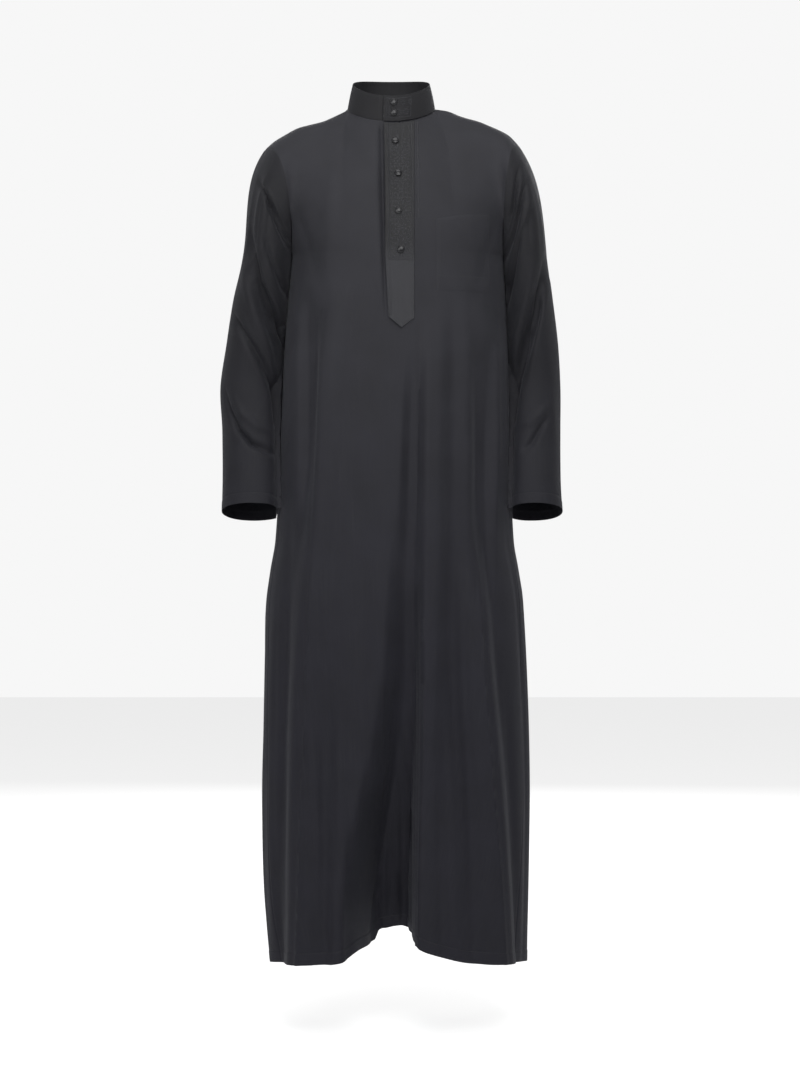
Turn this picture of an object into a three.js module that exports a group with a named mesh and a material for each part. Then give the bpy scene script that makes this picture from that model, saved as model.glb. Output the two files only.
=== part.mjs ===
import * as THREE from 'three';

// Thobe, an ankle-length robe, hollow and open as it hangs when worn.
// Millimetres, +Z up, front towards -Y, wearer's left towards +X.
// The origin is the middle of the neck base, where the shoulders hold the robe up.

const CLOTH = 2.0;
const SEAM_GAP = 0.3;
const LAYER = 1.5;

const ARMPIT_Z = -240;
const HEM_Z = -1375;
const HEM_TILT = 15;
const SQUARENESS = 2.3;

const NECK = { left: 72, right: 67, front: 66, back: 62, side: 2, tilt: 22, dip: 8 };
const SHOULDER_X = 206;
const SHOULDER_BACK = 12;
const COLLAR = { height: 40, lean: 0.88, leanBack: 0.95, gap: 0.5, lap: 2.6, lapFrom: 0.3, lapOver: 0.55,
  underEnd: 22, overEnd: -11 };

const PLACKET = { neckX: 12, chestX: 13.7, neckHalf: 23.5, chestHalf: 21.8, endHalf: 20.2,
  endX: 15.5, cornerZ: -352, tipZ: -369, tipHalf: 1.2, top: 1.97, slitHalf: 1.2 };

const ARMHOLE = { front: 70, back: 76, frontScoop: 4, backScoop: 2, reach: 4 };

// How the cloth runs up to the neck: steepness at the neckline in degrees of turn, and fullness below
const CHEST_END = 50;
const BLADE_END = 62;
const LEVEL_SHARE = 0.75;
const CHEST_FALL = 1.1;
const BLADE_FALL = 0.85;

const SLEEVE_TOP_Z = -262;
const CUFF_Z = -651;
const CUFF_TILT = 0.3;
const SLEEVE_ROUNDNESS = 0.93;

// Direction in which the cloth leaves the armhole seam, and how far the cap still spreads where it ends
const CAP_LEAVE = { out: 0.6, fuller: 0.2, down: 0.8 };
const CAP_SPREAD = 0.08;
const ARMHOLE_GAP = 2.5 * SEAM_GAP;

// Where a sleeve would reach into the body it lies along it instead, this far off and blended this softly
const SLEEVE_CLEAR = 1.2;
const CONTACT_BLEND = 1.2;

// Arc of the gore's seam for each radian, and half the degrees of the armhole that the gore's top takes
const GORE_SWEEP = 155;
const GORE_TURN = 8;

const BUTTON = { radius: 5.75, height: 2.5, lift: 0.3 };

// Sheet columns, as a share of the way from the front or back middle to the side seam
const EDGE = 0.12;
const NECK_EDGE = 0.38;
const POCKET_INNER = 0.25;
const POCKET_OUTER = 0.7;

// Half widths and depths of the robe around the neck axis
const bodySections = [
  { z: -1375, left: 199, right: 219, front: 158, back: 150 },
  { z: -1250, left: 209, right: 222, front: 157, back: 146 },
  { z: -1100, left: 212, right: 224, front: 155, back: 141 },
  { z: -950, left: 209, right: 221, front: 151, back: 135 },
  { z: -800, left: 204, right: 213, front: 146, back: 126 },
  { z: -745, left: 197, right: 205, front: 143, back: 122 },
  { z: -697, left: 189, right: 197, front: 141, back: 118 },
  { z: -551, left: 181, right: 191, front: 137, back: 110 },
  { z: -389, left: 174, right: 187, front: 133, back: 112 },
  { z: -240, left: 162, right: 180, front: 127, back: 118 },
];

// Angle of the gore seams from the front middle and from the back middle
const goreSeams = [
  { z: -1375, front: 64, back: 62 },
  { z: -700, front: 74, back: 72 },
  { z: -240, front: 84, back: 84 },
];

// Height of the shoulder ridge over the neck base, on either side
const shoulderLine = [
  { x: 69, left: 2, right: 2 },
  { x: 90, left: -8, right: -1 },
  { x: 110, left: -17, right: -9 },
  { x: 135, left: -24, right: -17 },
  { x: 155, left: -30, right: -25 },
  { x: 175, left: -40, right: -33 },
  { x: 192, left: -50, right: -42 },
  { x: 206, left: -62, right: -56 },
];

// Sleeve sections: outer and inner edge on either side, middle and half depth
const sleeveSections = [
  { z: -651, outerLeft: 273, innerLeft: 185, outerRight: 274, innerRight: 192, middle: -36, depth: 46 },
  { z: -600, outerLeft: 273, innerLeft: 181, outerRight: 272, innerRight: 189, middle: -18, depth: 52 },
  { z: -520, outerLeft: 275, innerLeft: 177, outerRight: 273, innerRight: 187, middle: 6, depth: 58 },
  { z: -450, outerLeft: 279, innerLeft: 173, outerRight: 274, innerRight: 185, middle: 16, depth: 62 },
  { z: -380, outerLeft: 269, innerLeft: 170, outerRight: 270, innerRight: 183, middle: 14, depth: 67 },
  { z: -310, outerLeft: 258, innerLeft: 166, outerRight: 261, innerRight: 181, middle: 10, depth: 72 },
  { z: -262, outerLeft: 246, innerLeft: 164, outerRight: 254, innerRight: 180, middle: 6, depth: 77 },
];

// Folds. Each runs down one face; a row gives the flat of the fold from x to x (from y to y on a side),
// how far it stands out (or in, below 0) and how wide its slopes are towards -X and +X (-Y and +Y).
const bodyFolds = [
  { face: 'front', name: 'recess between the legs', rows: [
    { z: -1375, from: -31, to: 31, depth: -140, low: 44, high: 8 },
    { z: -1290, from: -31, to: 32, depth: -122, low: 46, high: 8 },
    { z: -1160, from: -14, to: 33, depth: -86, low: 50, high: 9 },
    { z: -1040, from: 10, to: 35, depth: -56, low: 44, high: 10 },
    { z: -900, from: 24, to: 37, depth: -34, low: 32, high: 12 },
    { z: -760, from: 24, to: 34, depth: -18, low: 24, high: 12 },
    { z: -620, from: 26, to: 34, depth: 0, low: 20, high: 12 } ] },
  { face: 'front', name: 'left leg ridge', rows: [
    { z: -1375, from: -152, to: -142, depth: 16, low: 34, high: 40 },
    { z: -1160, from: -148, to: -138, depth: 16, low: 34, high: 38 },
    { z: -856, from: -136, to: -128, depth: 13, low: 32, high: 34 },
    { z: -600, from: -116, to: -108, depth: 10, low: 24, high: 30 },
    { z: -360, from: -98, to: -90, depth: 7, low: 22, high: 30 },
    { z: -280, from: -84, to: -76, depth: 0, low: 22, high: 30 } ] },
  { face: 'front', name: 'left waist trough', rows: [
    { z: -760, from: -134, to: -128, depth: 0, low: 18, high: 16 },
    { z: -560, from: -134, to: -126, depth: -8, low: 18, high: 16 },
    { z: -390, from: -136, to: -126, depth: -9, low: 18, high: 18 },
    { z: -290, from: -134, to: -128, depth: 0, low: 18, high: 18 } ] },
  { face: 'front', name: 'right of middle ridge', rows: [
    { z: -1375, from: 46, to: 60, depth: 6, low: 8, high: 34 },
    { z: -1100, from: 47, to: 60, depth: 9, low: 8, high: 34 },
    { z: -860, from: 50, to: 64, depth: 12, low: 11, high: 30 },
    { z: -650, from: 54, to: 70, depth: 11, low: 12, high: 28 },
    { z: -450, from: 57, to: 73, depth: 9, low: 14, high: 28 },
    { z: -330, from: 60, to: 72, depth: 0, low: 18, high: 28 } ] },
  { face: 'front', name: 'trough under the placket', rows: [
    { z: -760, from: 28, to: 38, depth: 0, low: 20, high: 10 },
    { z: -640, from: 29, to: 40, depth: -10, low: 20, high: 10 },
    { z: -500, from: 32, to: 42, depth: -9, low: 18, high: 10 },
    { z: -400, from: 34, to: 42, depth: 0, low: 16, high: 12 } ] },
  { face: 'front', name: 'right waist trough', rows: [
    { z: -820, from: 140, to: 150, depth: 0, low: 26, high: 16 },
    { z: -700, from: 142, to: 152, depth: -9, low: 24, high: 16 },
    { z: -560, from: 142, to: 154, depth: -14, low: 22, high: 15 },
    { z: -450, from: 140, to: 154, depth: -8, low: 22, high: 15 },
    { z: -370, from: 140, to: 152, depth: 0, low: 22, high: 15 } ] },
  { face: 'front', name: 'right leg ridge', rows: [
    { z: -1375, from: 176, to: 184, depth: 12, low: 44, high: 18 },
    { z: -1230, from: 167, to: 174, depth: 15, low: 42, high: 20 },
    { z: -1058, from: 153, to: 160, depth: 16, low: 38, high: 22 },
    { z: -897, from: 140, to: 146, depth: 13, low: 34, high: 22 },
    { z: -754, from: 132, to: 138, depth: 8, low: 30, high: 20 },
    { z: -650, from: 124, to: 130, depth: 0, low: 26, high: 20 } ] },
  { face: 'back', name: 'back left flute', rows: [
    { z: -1375, from: 104, to: 120, depth: 26, low: 44, high: 40 },
    { z: -1050, from: 100, to: 112, depth: 17, low: 40, high: 38 },
    { z: -760, from: 92, to: 100, depth: 8, low: 34, high: 34 },
    { z: -520, from: 84, to: 90, depth: 0, low: 30, high: 30 } ] },
  { face: 'back', name: 'back middle trough', rows: [
    { z: -1375, from: 6, to: 26, depth: -34, low: 46, high: 34 },
    { z: -1100, from: 4, to: 22, depth: -22, low: 44, high: 36 },
    { z: -820, from: 2, to: 14, depth: -9, low: 38, high: 36 },
    { z: -600, from: 2, to: 10, depth: 0, low: 34, high: 34 } ] },
  { face: 'back', name: 'back right flute', rows: [
    { z: -1375, from: -104, to: -84, depth: 24, low: 46, high: 40 },
    { z: -1080, from: -98, to: -84, depth: 16, low: 42, high: 40 },
    { z: -800, from: -90, to: -82, depth: 7, low: 36, high: 36 },
    { z: -560, from: -82, to: -76, depth: 0, low: 30, high: 30 } ] },
  { face: 'left', name: 'gore trough, wearer\'s left', rows: [
    { z: -1375, from: 6, to: 26, depth: -20, low: 34, high: 40 },
    { z: -1050, from: 4, to: 18, depth: -12, low: 34, high: 38 },
    { z: -780, from: 2, to: 10, depth: 0, low: 30, high: 30 } ] },
  { face: 'right', name: 'gore trough, wearer\'s right', rows: [
    { z: -1375, from: -10, to: 8, depth: -17, low: 36, high: 40 },
    { z: -1100, from: -6, to: 6, depth: -11, low: 34, high: 38 },
    { z: -820, from: -4, to: 4, depth: 0, low: 30, high: 30 } ] },
];

const rightSleeveFolds = [
  { face: 'front', name: 'long crease to the elbow', rows: [
    { z: -440, from: -178, to: -172, depth: 0, low: 14, high: 16 },
    { z: -389, from: -186, to: -178, depth: -7, low: 14, high: 18 },
    { z: -324, from: -208, to: -200, depth: -9, low: 14, high: 18 },
    { z: -272, from: -226, to: -219, depth: -5, low: 14, high: 18 } ] },
  { face: 'front', name: 'elbow fold', rows: [
    { z: -470, from: -262, to: -190, depth: 0, low: 10, high: 10 },
    { z: -448, from: -262, to: -190, depth: -6, low: 16, high: 12 },
    { z: -426, from: -262, to: -190, depth: 0, low: 10, high: 10 } ] },
];

const leftSleeveFolds = [
  { face: 'front', name: 'long crease to the elbow', rows: [
    { z: -470, from: 200, to: 206, depth: 0, low: 16, high: 14 },
    { z: -410, from: 206, to: 214, depth: -7, low: 18, high: 14 },
    { z: -340, from: 222, to: 230, depth: -9, low: 18, high: 14 },
    { z: -285, from: 236, to: 242, depth: -5, low: 18, high: 14 } ] },
  { face: 'front', name: 'elbow fold', rows: [
    { z: -468, from: 206, to: 256, depth: 0, low: 10, high: 10 },
    { z: -444, from: 206, to: 256, depth: -5, low: 12, high: 14 },
    { z: -424, from: 206, to: 256, depth: 0, low: 10, high: 10 } ] },
];

// Rise of the hem where the cloth falls in between the legs, at the front and at the back
const hemRise = [
  { x: -95, rise: 0 },
  { x: -73, rise: 5 },
  { x: -62, rise: 15 },
  { x: -38, rise: 22 },
  { x: -28, rise: 37 },
  { x: -10, rise: 42 },
  { x: 33, rise: 42 },
  { x: 39, rise: 28 },
  { x: 66, rise: 16 },
  { x: 116, rise: 3 },
  { x: 150, rise: 0 },
];
const backHemRise = [
  { x: -150, rise: 0 },
  { x: -96, rise: 11 },
  { x: -44, rise: 37 },
  { x: 0, rise: 41 },
  { x: 52, rise: 38 },
  { x: 104, rise: 12 },
  { x: 160, rise: 0 },
];

const buttonPlaces = [
  { on: 'collar', z: 2.5, x: 2.5 },
  { on: 'collar', z: -14, x: 2.5 },
  { on: 'placket', z: -62, x: 5.6 },
  { on: 'placket', z: -117, x: 9.9 },
  { on: 'placket', z: -178, x: 11 },
  { on: 'placket', z: -239, x: 14 },
];

const DEGREE = Math.PI / 180;
const mix = (a, b, t) => a + (b - a) * t;
const clamp = (t, low, high) => Math.min(high, Math.max(low, t));
const ease = (t) => {
  const s = clamp(t, 0, 1);
  return s * s * (3 - 2 * s);
};
const signedPower = (base, power) => Math.sign(base) * Math.abs(base) ** power;

// One column of a table at a place between its rows, on a smooth curve through them
function sample(table, axis, column, at) {
  const rows = table[0][axis] < table[table.length - 1][axis] ? table : [...table].reverse();
  const last = rows.length - 1;
  const place = clamp(at, rows[0][axis], rows[last][axis]);
  let i = 0;
  while (i < last - 1 && place > rows[i + 1][axis]) i += 1;
  const slope = (k) => {
    const a = rows[Math.max(k - 1, 0)];
    const b = rows[Math.min(k + 1, last)];
    return (b[column] - a[column]) / (b[axis] - a[axis]);
  };
  const span = rows[i + 1][axis] - rows[i][axis];
  const t = (place - rows[i][axis]) / span;
  const start = (1 + 2 * t) * (1 - t) ** 2 * rows[i][column] + t * (1 - t) ** 2 * span * slope(i);
  const end = t * t * (3 - 2 * t) * rows[i + 1][column] + t * t * (t - 1) * span * slope(i + 1);
  return start + end;
}

// How far the folds of one list push the cloth out at a point of a face
function foldDepth(folds, x, y, z, faces) {
  let depth = 0;
  for (const fold of folds) {
    const rows = fold.rows;
    if (!faces.includes(fold.face) || z > rows[rows.length - 1].z) continue;
    const across = fold.face === 'front' || fold.face === 'back' ? x : y;
    const from = sample(rows, 'z', 'from', z);
    const to = sample(rows, 'z', 'to', z);
    const below = z < rows[0].z ? 0 : 1;
    const rise = ease(1 - (from - across) / sample(rows, 'z', 'low', z));
    const fall = ease(1 - (across - to) / sample(rows, 'z', 'high', z));
    depth += below * sample(rows, 'z', 'depth', z) * rise * fall;
  }
  return depth;
}

// The robe's outer skin below the armpits, at an angle from the front middle towards +X
function ring(angle, z) {
  const power = 2 / SQUARENESS;
  const s = Math.sin(angle);
  const c = Math.cos(angle);
  const width = sample(bodySections, 'z', s < 0 ? 'left' : 'right', z);
  const depth = sample(bodySections, 'z', c > 0 ? 'front' : 'back', z);
  const x = width * signedPower(s, power);
  const y = -depth * signedPower(c, power);
  const nx = signedPower(x / width, SQUARENESS - 1) / width;
  const ny = signedPower(y / depth, SQUARENESS - 1) / depth;
  const faces = [c > 0 ? 'front' : 'back', s > 0 ? 'left' : 'right'];
  const out = foldDepth(bodyFolds, x, y, z, faces) / Math.hypot(nx, ny);
  return new THREE.Vector3(x + nx * out, y + ny * out, z);
}

function hemHeight(angle) {
  const c = Math.cos(angle);
  const x = sample(bodySections, 'z', Math.sin(angle) < 0 ? 'left' : 'right', HEM_Z)
    * signedPower(Math.sin(angle), 2 / SQUARENESS);
  const rise = sample(c > 0 ? hemRise : backHemRise, 'x', 'rise', x);
  return HEM_Z + HEM_TILT * Math.max(c, 0) + rise;
}

// Angle on the ring that lies at a given x near the front middle
function frontAngle(x, z) {
  const width = sample(bodySections, 'z', x < 0 ? 'left' : 'right', z);
  return Math.asin(signedPower(x / width, SQUARENESS / 2));
}

// Middle and half width of the placket's line, carried down to the hem by the front's columns
function placketLine(z) {
  const t = clamp((ARMPIT_Z - z) / (ARMPIT_Z - PLACKET.cornerZ), 0, 1);
  return { x: mix(PLACKET.chestX, PLACKET.endX, t), half: mix(PLACKET.chestHalf, PLACKET.endHalf, t) };
}

function lowerFront(u, v) {
  const z = mix(HEM_Z, ARMPIT_Z, v);
  const line = placketLine(z);
  const near = clamp(u, -EDGE, EDGE);
  const inner = frontAngle(line.x + (near / EDGE) * line.half, z);
  const seam = Math.sign(u) * sample(goreSeams, 'z', 'front', z) * DEGREE;
  const beyond = (Math.abs(u) - EDGE) / (1 - EDGE);
  const angle = beyond > 0 ? mix(inner, seam, beyond) : inner;
  return ring(angle, mix(hemHeight(angle), ARMPIT_Z, v));
}

function lowerBack(u, v) {
  const angle = Math.PI + u * sample(goreSeams, 'z', 'back', mix(HEM_Z, ARMPIT_Z, v)) * DEGREE;
  return ring(angle, mix(hemHeight(angle), ARMPIT_Z, v));
}

function goreSide(side) {
  return (u, v) => {
    const z = mix(HEM_Z, ARMPIT_Z, v);
    const gap = SEAM_GAP / GORE_SWEEP;
    const start = sample(goreSeams, 'z', 'front', z) * DEGREE + gap;
    const end = Math.PI - sample(goreSeams, 'z', 'back', z) * DEGREE - gap;
    const angle = side * mix(start, end, side > 0 ? u : 1 - u);
    return ring(angle, mix(hemHeight(angle), ARMPIT_Z, v));
  };
}

// Neck base, where body and collar meet
function neckBase(angle) {
  const s = Math.sin(angle);
  const c = Math.cos(angle);
  return new THREE.Vector3(
    (s < 0 ? NECK.left : NECK.right) * s,
    -(c > 0 ? NECK.front : NECK.back) * c,
    NECK.side - NECK.tilt * c - NECK.dip * c * c,
  );
}

// Top edge of the front (facing 1) or back (facing -1): neckline, then shoulder seam
function topEdge(u, facing) {
  const point = seamline(u, facing);
  point.y -= facing * SEAM_GAP;
  return point;
}

function seamline(u, facing) {
  const share = Math.abs(u);
  if (share > NECK_EDGE) {
    const side = facing * Math.sign(u);
    const t = (share - NECK_EDGE) / (1 - NECK_EDGE);
    const neckPoint = neckBase(side * Math.PI / 2);
    const x = mix(Math.abs(neckPoint.x), SHOULDER_X, t);
    const z = sample(shoulderLine, 'x', side < 0 ? 'left' : 'right', x);
    return new THREE.Vector3(side * x, SHOULDER_BACK * t, z);
  }
  if (facing < 0) return neckBase(Math.PI + (u / NECK_EDGE) * Math.PI / 2);
  const near = clamp(u, -EDGE, EDGE);
  const x = PLACKET.neckX + (near / EDGE) * PLACKET.neckHalf;
  const inner = Math.asin(x / (x < 0 ? NECK.left : NECK.right));
  const beyond = Math.max(0, (share - EDGE) / (NECK_EDGE - EDGE));
  return neckBase(mix(inner, Math.sign(u) * Math.PI / 2, beyond));
}

// Chest or upper back: each column rounds over from the armpit ring to the top edge,
// and swells towards the armhole, which it meets at the outer column
function upper(u, v, facing) {
  const low = facing > 0 ? lowerFront(u, 1) : lowerBack(u, 1);
  const top = topEdge(u, facing);
  const steep = facing > 0 ? CHEST_END : BLADE_END;
  const endTurn = mix(steep, 90, ease(Math.abs(u) / LEVEL_SHARE)) * DEGREE;
  const turn = (v - 1) * endTurn;
  const swell = Math.abs(u) ** ARMHOLE.reach * Math.max(Math.sin(2 * turn), 0) ** 0.8;
  const scoop = facing > 0 ? ARMHOLE.frontScoop : ARMHOLE.backScoop;
  const bulge = facing > 0 ? ARMHOLE.front : ARMHOLE.back;
  const side = facing * Math.sign(u);
  const across = Math.max((Math.cos(turn) - Math.cos(endTurn)) / (1 - Math.cos(endTurn)), 0);
  const fall = across ** mix(facing > 0 ? CHEST_FALL : BLADE_FALL, 1, Math.abs(u));
  return new THREE.Vector3(
    top.x + (low.x - top.x) * across - side * scoop * swell,
    top.y + (low.y - top.y) * fall - facing * bulge * swell,
    low.z + (top.z - low.z) * Math.sin(turn) / Math.sin(endTurn),
  );
}

const front = (u, v) => (v <= 1 ? lowerFront(u, v) : upper(u, v, 1));
const back = (u, v) => (v <= 1 ? lowerBack(u, v) : upper(u, v, -1));

// Rims of front and back stand side by side along the shoulder seam
function panelNormal(surface) {
  return (u, v) => {
    const normal = normalAt(surface, u, v, 1);
    if (v === 2 && Math.abs(u) >= NECK_EDGE) normal.setY(0).normalize();
    return normal;
  };
}

// Half width of the body's plain section at a depth
function bodyEdge(side, y, z) {
  const width = sample(bodySections, 'z', side < 0 ? 'left' : 'right', z);
  const depth = sample(bodySections, 'z', y < 0 ? 'front' : 'back', z);
  return width * Math.max(1 - Math.abs(y / depth) ** SQUARENESS, 0) ** (1 / SQUARENESS);
}

// Sleeve from the armhole (t 0) over the shoulder to a level section (t 1) and down to the cuff (t 2);
// the angle runs from the outer edge over the front
function sleeve(side) {
  const end = side < 0 ? 'Left' : 'Right';
  const folds = side < 0 ? rightSleeveFolds : leftSleeveFolds;
  const section = (angle, z) => {
    const outer = sample(sleeveSections, 'z', `outer${end}`, z);
    const inner = sample(sleeveSections, 'z', `inner${end}`, z);
    const middle = sample(sleeveSections, 'z', 'middle', z);
    const depth = sample(sleeveSections, 'z', 'depth', z);
    const nx = Math.cos(angle);
    const ny = -Math.sin(angle);
    const x = side * ((outer + inner) / 2 + (outer - inner) / 2 * signedPower(nx, SLEEVE_ROUNDNESS));
    const y = middle + depth * signedPower(ny, SLEEVE_ROUNDNESS);
    const tilt = CUFF_TILT * ease((SLEEVE_TOP_Z - z) / (SLEEVE_TOP_Z - CUFF_Z));
    const out = foldDepth(folds, x, y, z, [ny < 0 ? 'front' : 'back']);
    const point = new THREE.Vector3(x + side * nx * out, y + ny * out, z - tilt * (y - middle));
    const reach = side * point.x;
    const limit = bodyEdge(side, point.y, point.z) + SLEEVE_CLEAR;
    point.x = side * (reach + limit + Math.hypot(reach - limit, CONTACT_BLEND)) / 2;
    return point;
  };
  const armhole = (angle) => {
    const turn = ((angle / DEGREE) % 360 + 360) % 360;
    const half = 180 - GORE_TURN;
    const across = (turn - half) / (2 * GORE_TURN);
    let point = across < 0 ? front(side, 2 - turn / half) : back(-side, 2 - (360 - turn) / half);
    if (across >= 0 && across <= 1) point = goreSide(side)(side > 0 ? across : 1 - across, 1);
    point.x += side * ARMHOLE_GAP;
    return point;
  };
  const surface = (angle, t) => {
    if (t > 1) return section(angle, mix(SLEEVE_TOP_Z, CUFF_Z, t - 1));
    const start = armhole(angle);
    const finish = section(angle, SLEEVE_TOP_Z);
    const reach = start.distanceTo(finish);
    const spread = CAP_LEAVE.out + CAP_LEAVE.fuller * Math.sin(angle) ** 2;
    const leave = new THREE.Vector3(side * spread, 0, -CAP_LEAVE.down).normalize();
    const arrive = new THREE.Vector3(side * CAP_SPREAD * Math.cos(angle), 0, -1);
    return start.multiplyScalar((1 + 2 * t) * (1 - t) ** 2)
      .addScaledVector(leave, reach * t * (1 - t) ** 2)
      .addScaledVector(finish, t * t * (3 - 2 * t))
      .addScaledVector(arrive, reach * t * t * (t - 1));
  };
  // At the armhole the rim lies along the panel's rim, down to where the two part at the armpit
  const rimNormal = (angle, t) => {
    const own = normalAt(surface, angle, t, side);
    if (t > 0) return own;
    const turn = angle / DEGREE;
    const half = 180 - GORE_TURN;
    if (turn > half && turn < 360 - half) return own;
    const panel = turn <= half
      ? panelNormal(front)(side, 2 - turn / half)
      : panelNormal(back)(-side, 2 - (360 - turn) / half);
    return side * (panel.x - own.x) < 0 ? panel : own;
  };
  return { surface, rimNormal };
}

const aroundNeck = (angle) => new THREE.Vector3(Math.sin(angle * DEGREE), -Math.cos(angle * DEGREE), 0);

// Stand collar, wound once round the neck: from its under end, at a positive angle past the front
// middle, the angle falls by way of -X to the end that laps over it
function collarAt(angle, h) {
  const base = neckBase(angle * DEGREE);
  const turned = (COLLAR.underEnd - angle) / (COLLAR.underEnd - COLLAR.overEnd + 360);
  const lap = COLLAR.lap * ease((turned - COLLAR.lapFrom) / COLLAR.lapOver);
  const lean = mix(1, COLLAR.lean, h);
  const outward = aroundNeck(angle);
  return new THREE.Vector3(base.x * lean, base.y * mix(1, COLLAR.leanBack, h), base.z + COLLAR.gap + COLLAR.height * h)
    .addScaledVector(outward, lap);
}

// Outward normal of a surface, by central differences
function normalAt(surface, u, v, turn) {
  const step = 1e-3;
  const du = surface(u + step, v).sub(surface(u - step, v));
  const dv = surface(u, v + step).sub(surface(u, v - step));
  return du.cross(dv).multiplyScalar(turn).normalize();
}

// Closed wall over a grid of a surface, from `out` outside it to `into` inside it;
// cells that `cut` names are left out, and every open edge gets a rim
function wall(surface, us, vs, options = {}) {
  const { out = 0, into = CLOTH, closed = false, cut = () => false, turn = 1 } = options;
  const normalOf = options.normalOf ?? ((u, v) => normalAt(surface, u, v, turn));
  const positions = [];
  const index = (i, j, skin) => ((i % us.length) * vs.length + j) * 2 + skin;
  for (const u of us) {
    for (const v of vs) {
      const point = surface(u, v);
      const normal = normalOf(u, v);
      positions.push(...point.clone().addScaledVector(normal, out).toArray());
      positions.push(...point.clone().addScaledVector(normal, -into).toArray());
    }
  }
  const triangles = [];
  const quad = (a, b, c, d) => {
    triangles.push(...(turn > 0 ? [a, b, c, a, c, d] : [a, c, b, a, d, c]));
  };
  const cellsAcross = closed ? us.length : us.length - 1;
  const kept = (i, j) => {
    if (j < 0 || j >= vs.length - 1) return false;
    const column = closed ? (i + cellsAcross) % cellsAcross : i;
    return column >= 0 && column < cellsAcross && !cut(column, j);
  };
  for (let i = 0; i < cellsAcross; i += 1) {
    for (let j = 0; j < vs.length - 1; j += 1) {
      if (!kept(i, j)) continue;
      quad(index(i, j, 0), index(i + 1, j, 0), index(i + 1, j + 1, 0), index(i, j + 1, 0));
      quad(index(i, j, 1), index(i, j + 1, 1), index(i + 1, j + 1, 1), index(i + 1, j, 1));
      const rims = [
        [kept(i, j - 1), i, j, i + 1, j],
        [kept(i + 1, j), i + 1, j, i + 1, j + 1],
        [kept(i, j + 1), i + 1, j + 1, i, j + 1],
        [kept(i - 1, j), i, j + 1, i, j],
      ];
      for (const [joined, i0, j0, i1, j1] of rims) {
        if (!joined) quad(index(i0, j0, 0), index(i0, j0, 1), index(i1, j1, 1), index(i1, j1, 0));
      }
    }
  }
  const geometry = new THREE.BufferGeometry();
  geometry.setAttribute('position', new THREE.Float32BufferAttribute(positions, 3));
  geometry.setIndex(triangles);
  return geometry;
}

// Round button with a raised rim and a domed middle, its back on the XY plane
function buttonGeometry() {
  const { radius, height } = BUTTON;
  const profile = [[0, 0], [0.88, 0], [1, 0.3], [1, 0.66], [0.89, 0.9], [0.75, 0.76], [0.45, 0.92], [0, 1]]
    .map(([across, up]) => new THREE.Vector2(across * radius, up * height));
  const geometry = new THREE.LatheGeometry(profile, 16);
  geometry.rotateX(Math.PI / 2);
  return geometry;
}

const satin = new THREE.MeshStandardMaterial({ color: 0x303034, roughness: 0.62 });
const shiny = new THREE.MeshStandardMaterial({ color: 0x46464a, roughness: 0.42 });
const glossy = new THREE.MeshStandardMaterial({ color: 0x101014, roughness: 0.15 });

const heightShare = (z) => (z - HEM_Z) / (ARMPIT_Z - HEM_Z);
const lowerRows = [-1375, -1345, -1300, -1250, -1200, -1150, -1100, -1050, -1000, -950, -900, -850,
  -800, -750, -700, -650, -600, -550, -500, -450, -405, PLACKET.tipZ, PLACKET.cornerZ, -305, -270,
  ARMPIT_Z].map(heightShare);
const upperTurns = [10, 16, 28, 40, 52, 64, 76, 84, 90];
const rows = [...lowerRows, ...upperTurns.map((turn) => 1 + turn / 90)];
const POCKET_TOP_TURN = 16;

const slit = EDGE * PLACKET.slitHalf / PLACKET.neckHalf;
const outerColumns = [NECK_EDGE, 0.48, 0.58, POCKET_OUTER, 0.8, 0.9, 1];
const frontColumns = [
  ...[...outerColumns].reverse().map((u) => -u), -0.29, -0.22, -0.16, -EDGE, -EDGE / 2, -slit,
  slit, EDGE / 2, EDGE, 0.145, 0.19, POCKET_INNER, 0.31, ...outerColumns,
];
const backColumns = [
  ...[...outerColumns].reverse().map((u) => -u), -0.28, -0.19, -0.09, 0, 0.09, 0.19, 0.28, ...outerColumns,
];
const placketColumns = [-EDGE, -EDGE / 2, -slit, slit, EDGE / 2, EDGE];
const slitColumn = frontColumns.indexOf(-slit);
const slitRow = lowerRows.indexOf(heightShare(PLACKET.cornerZ));

// The placket's strip narrows to a point below its corners
function placketSurface(u, v) {
  const corner = heightShare(PLACKET.cornerZ);
  const tip = heightShare(PLACKET.tipZ);
  const narrow = mix(PLACKET.tipHalf / PLACKET.endHalf, 1, clamp((v - tip) / (corner - tip), 0, 1));
  return front(u * narrow, v);
}
const placketRows = [...rows.filter((v) => v >= heightShare(PLACKET.tipZ) && v < 2), PLACKET.top];

const laid = { out: SEAM_GAP + LAYER, into: -SEAM_GAP };
const behind = { out: -CLOTH - SEAM_GAP, into: CLOTH + SEAM_GAP + LAYER };

const halfTurns = [0, ...upperTurns].map((turn) => (1 - turn / 90) * (180 - GORE_TURN));
const sleeveAngles = [...[...halfTurns].reverse(), 180, ...halfTurns.slice(0, -1).map((turn) => 360 - turn)]
  .map((angle) => angle * DEGREE);
const sleeveRows = [0, 0.12, 0.26, 0.42, 0.6, 0.8, 1, 1.07, 1.14, 1.21, 1.28, 1.35, 1.42, 1.46, 1.5, 1.55,
  1.62, 1.7, 1.78, 1.86, 1.94, 2];

const collarAngles = [COLLAR.overEnd - 360];
for (let angle = -360; angle < COLLAR.underEnd; angle += 10) collarAngles.push(angle);
collarAngles.push(COLLAR.underEnd);

const robe = new THREE.Group();

function add(name, geometry, material) {
  const mesh = new THREE.Mesh(geometry, material.clone());
  mesh.name = name;
  robe.add(mesh);
  return mesh;
}

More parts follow.
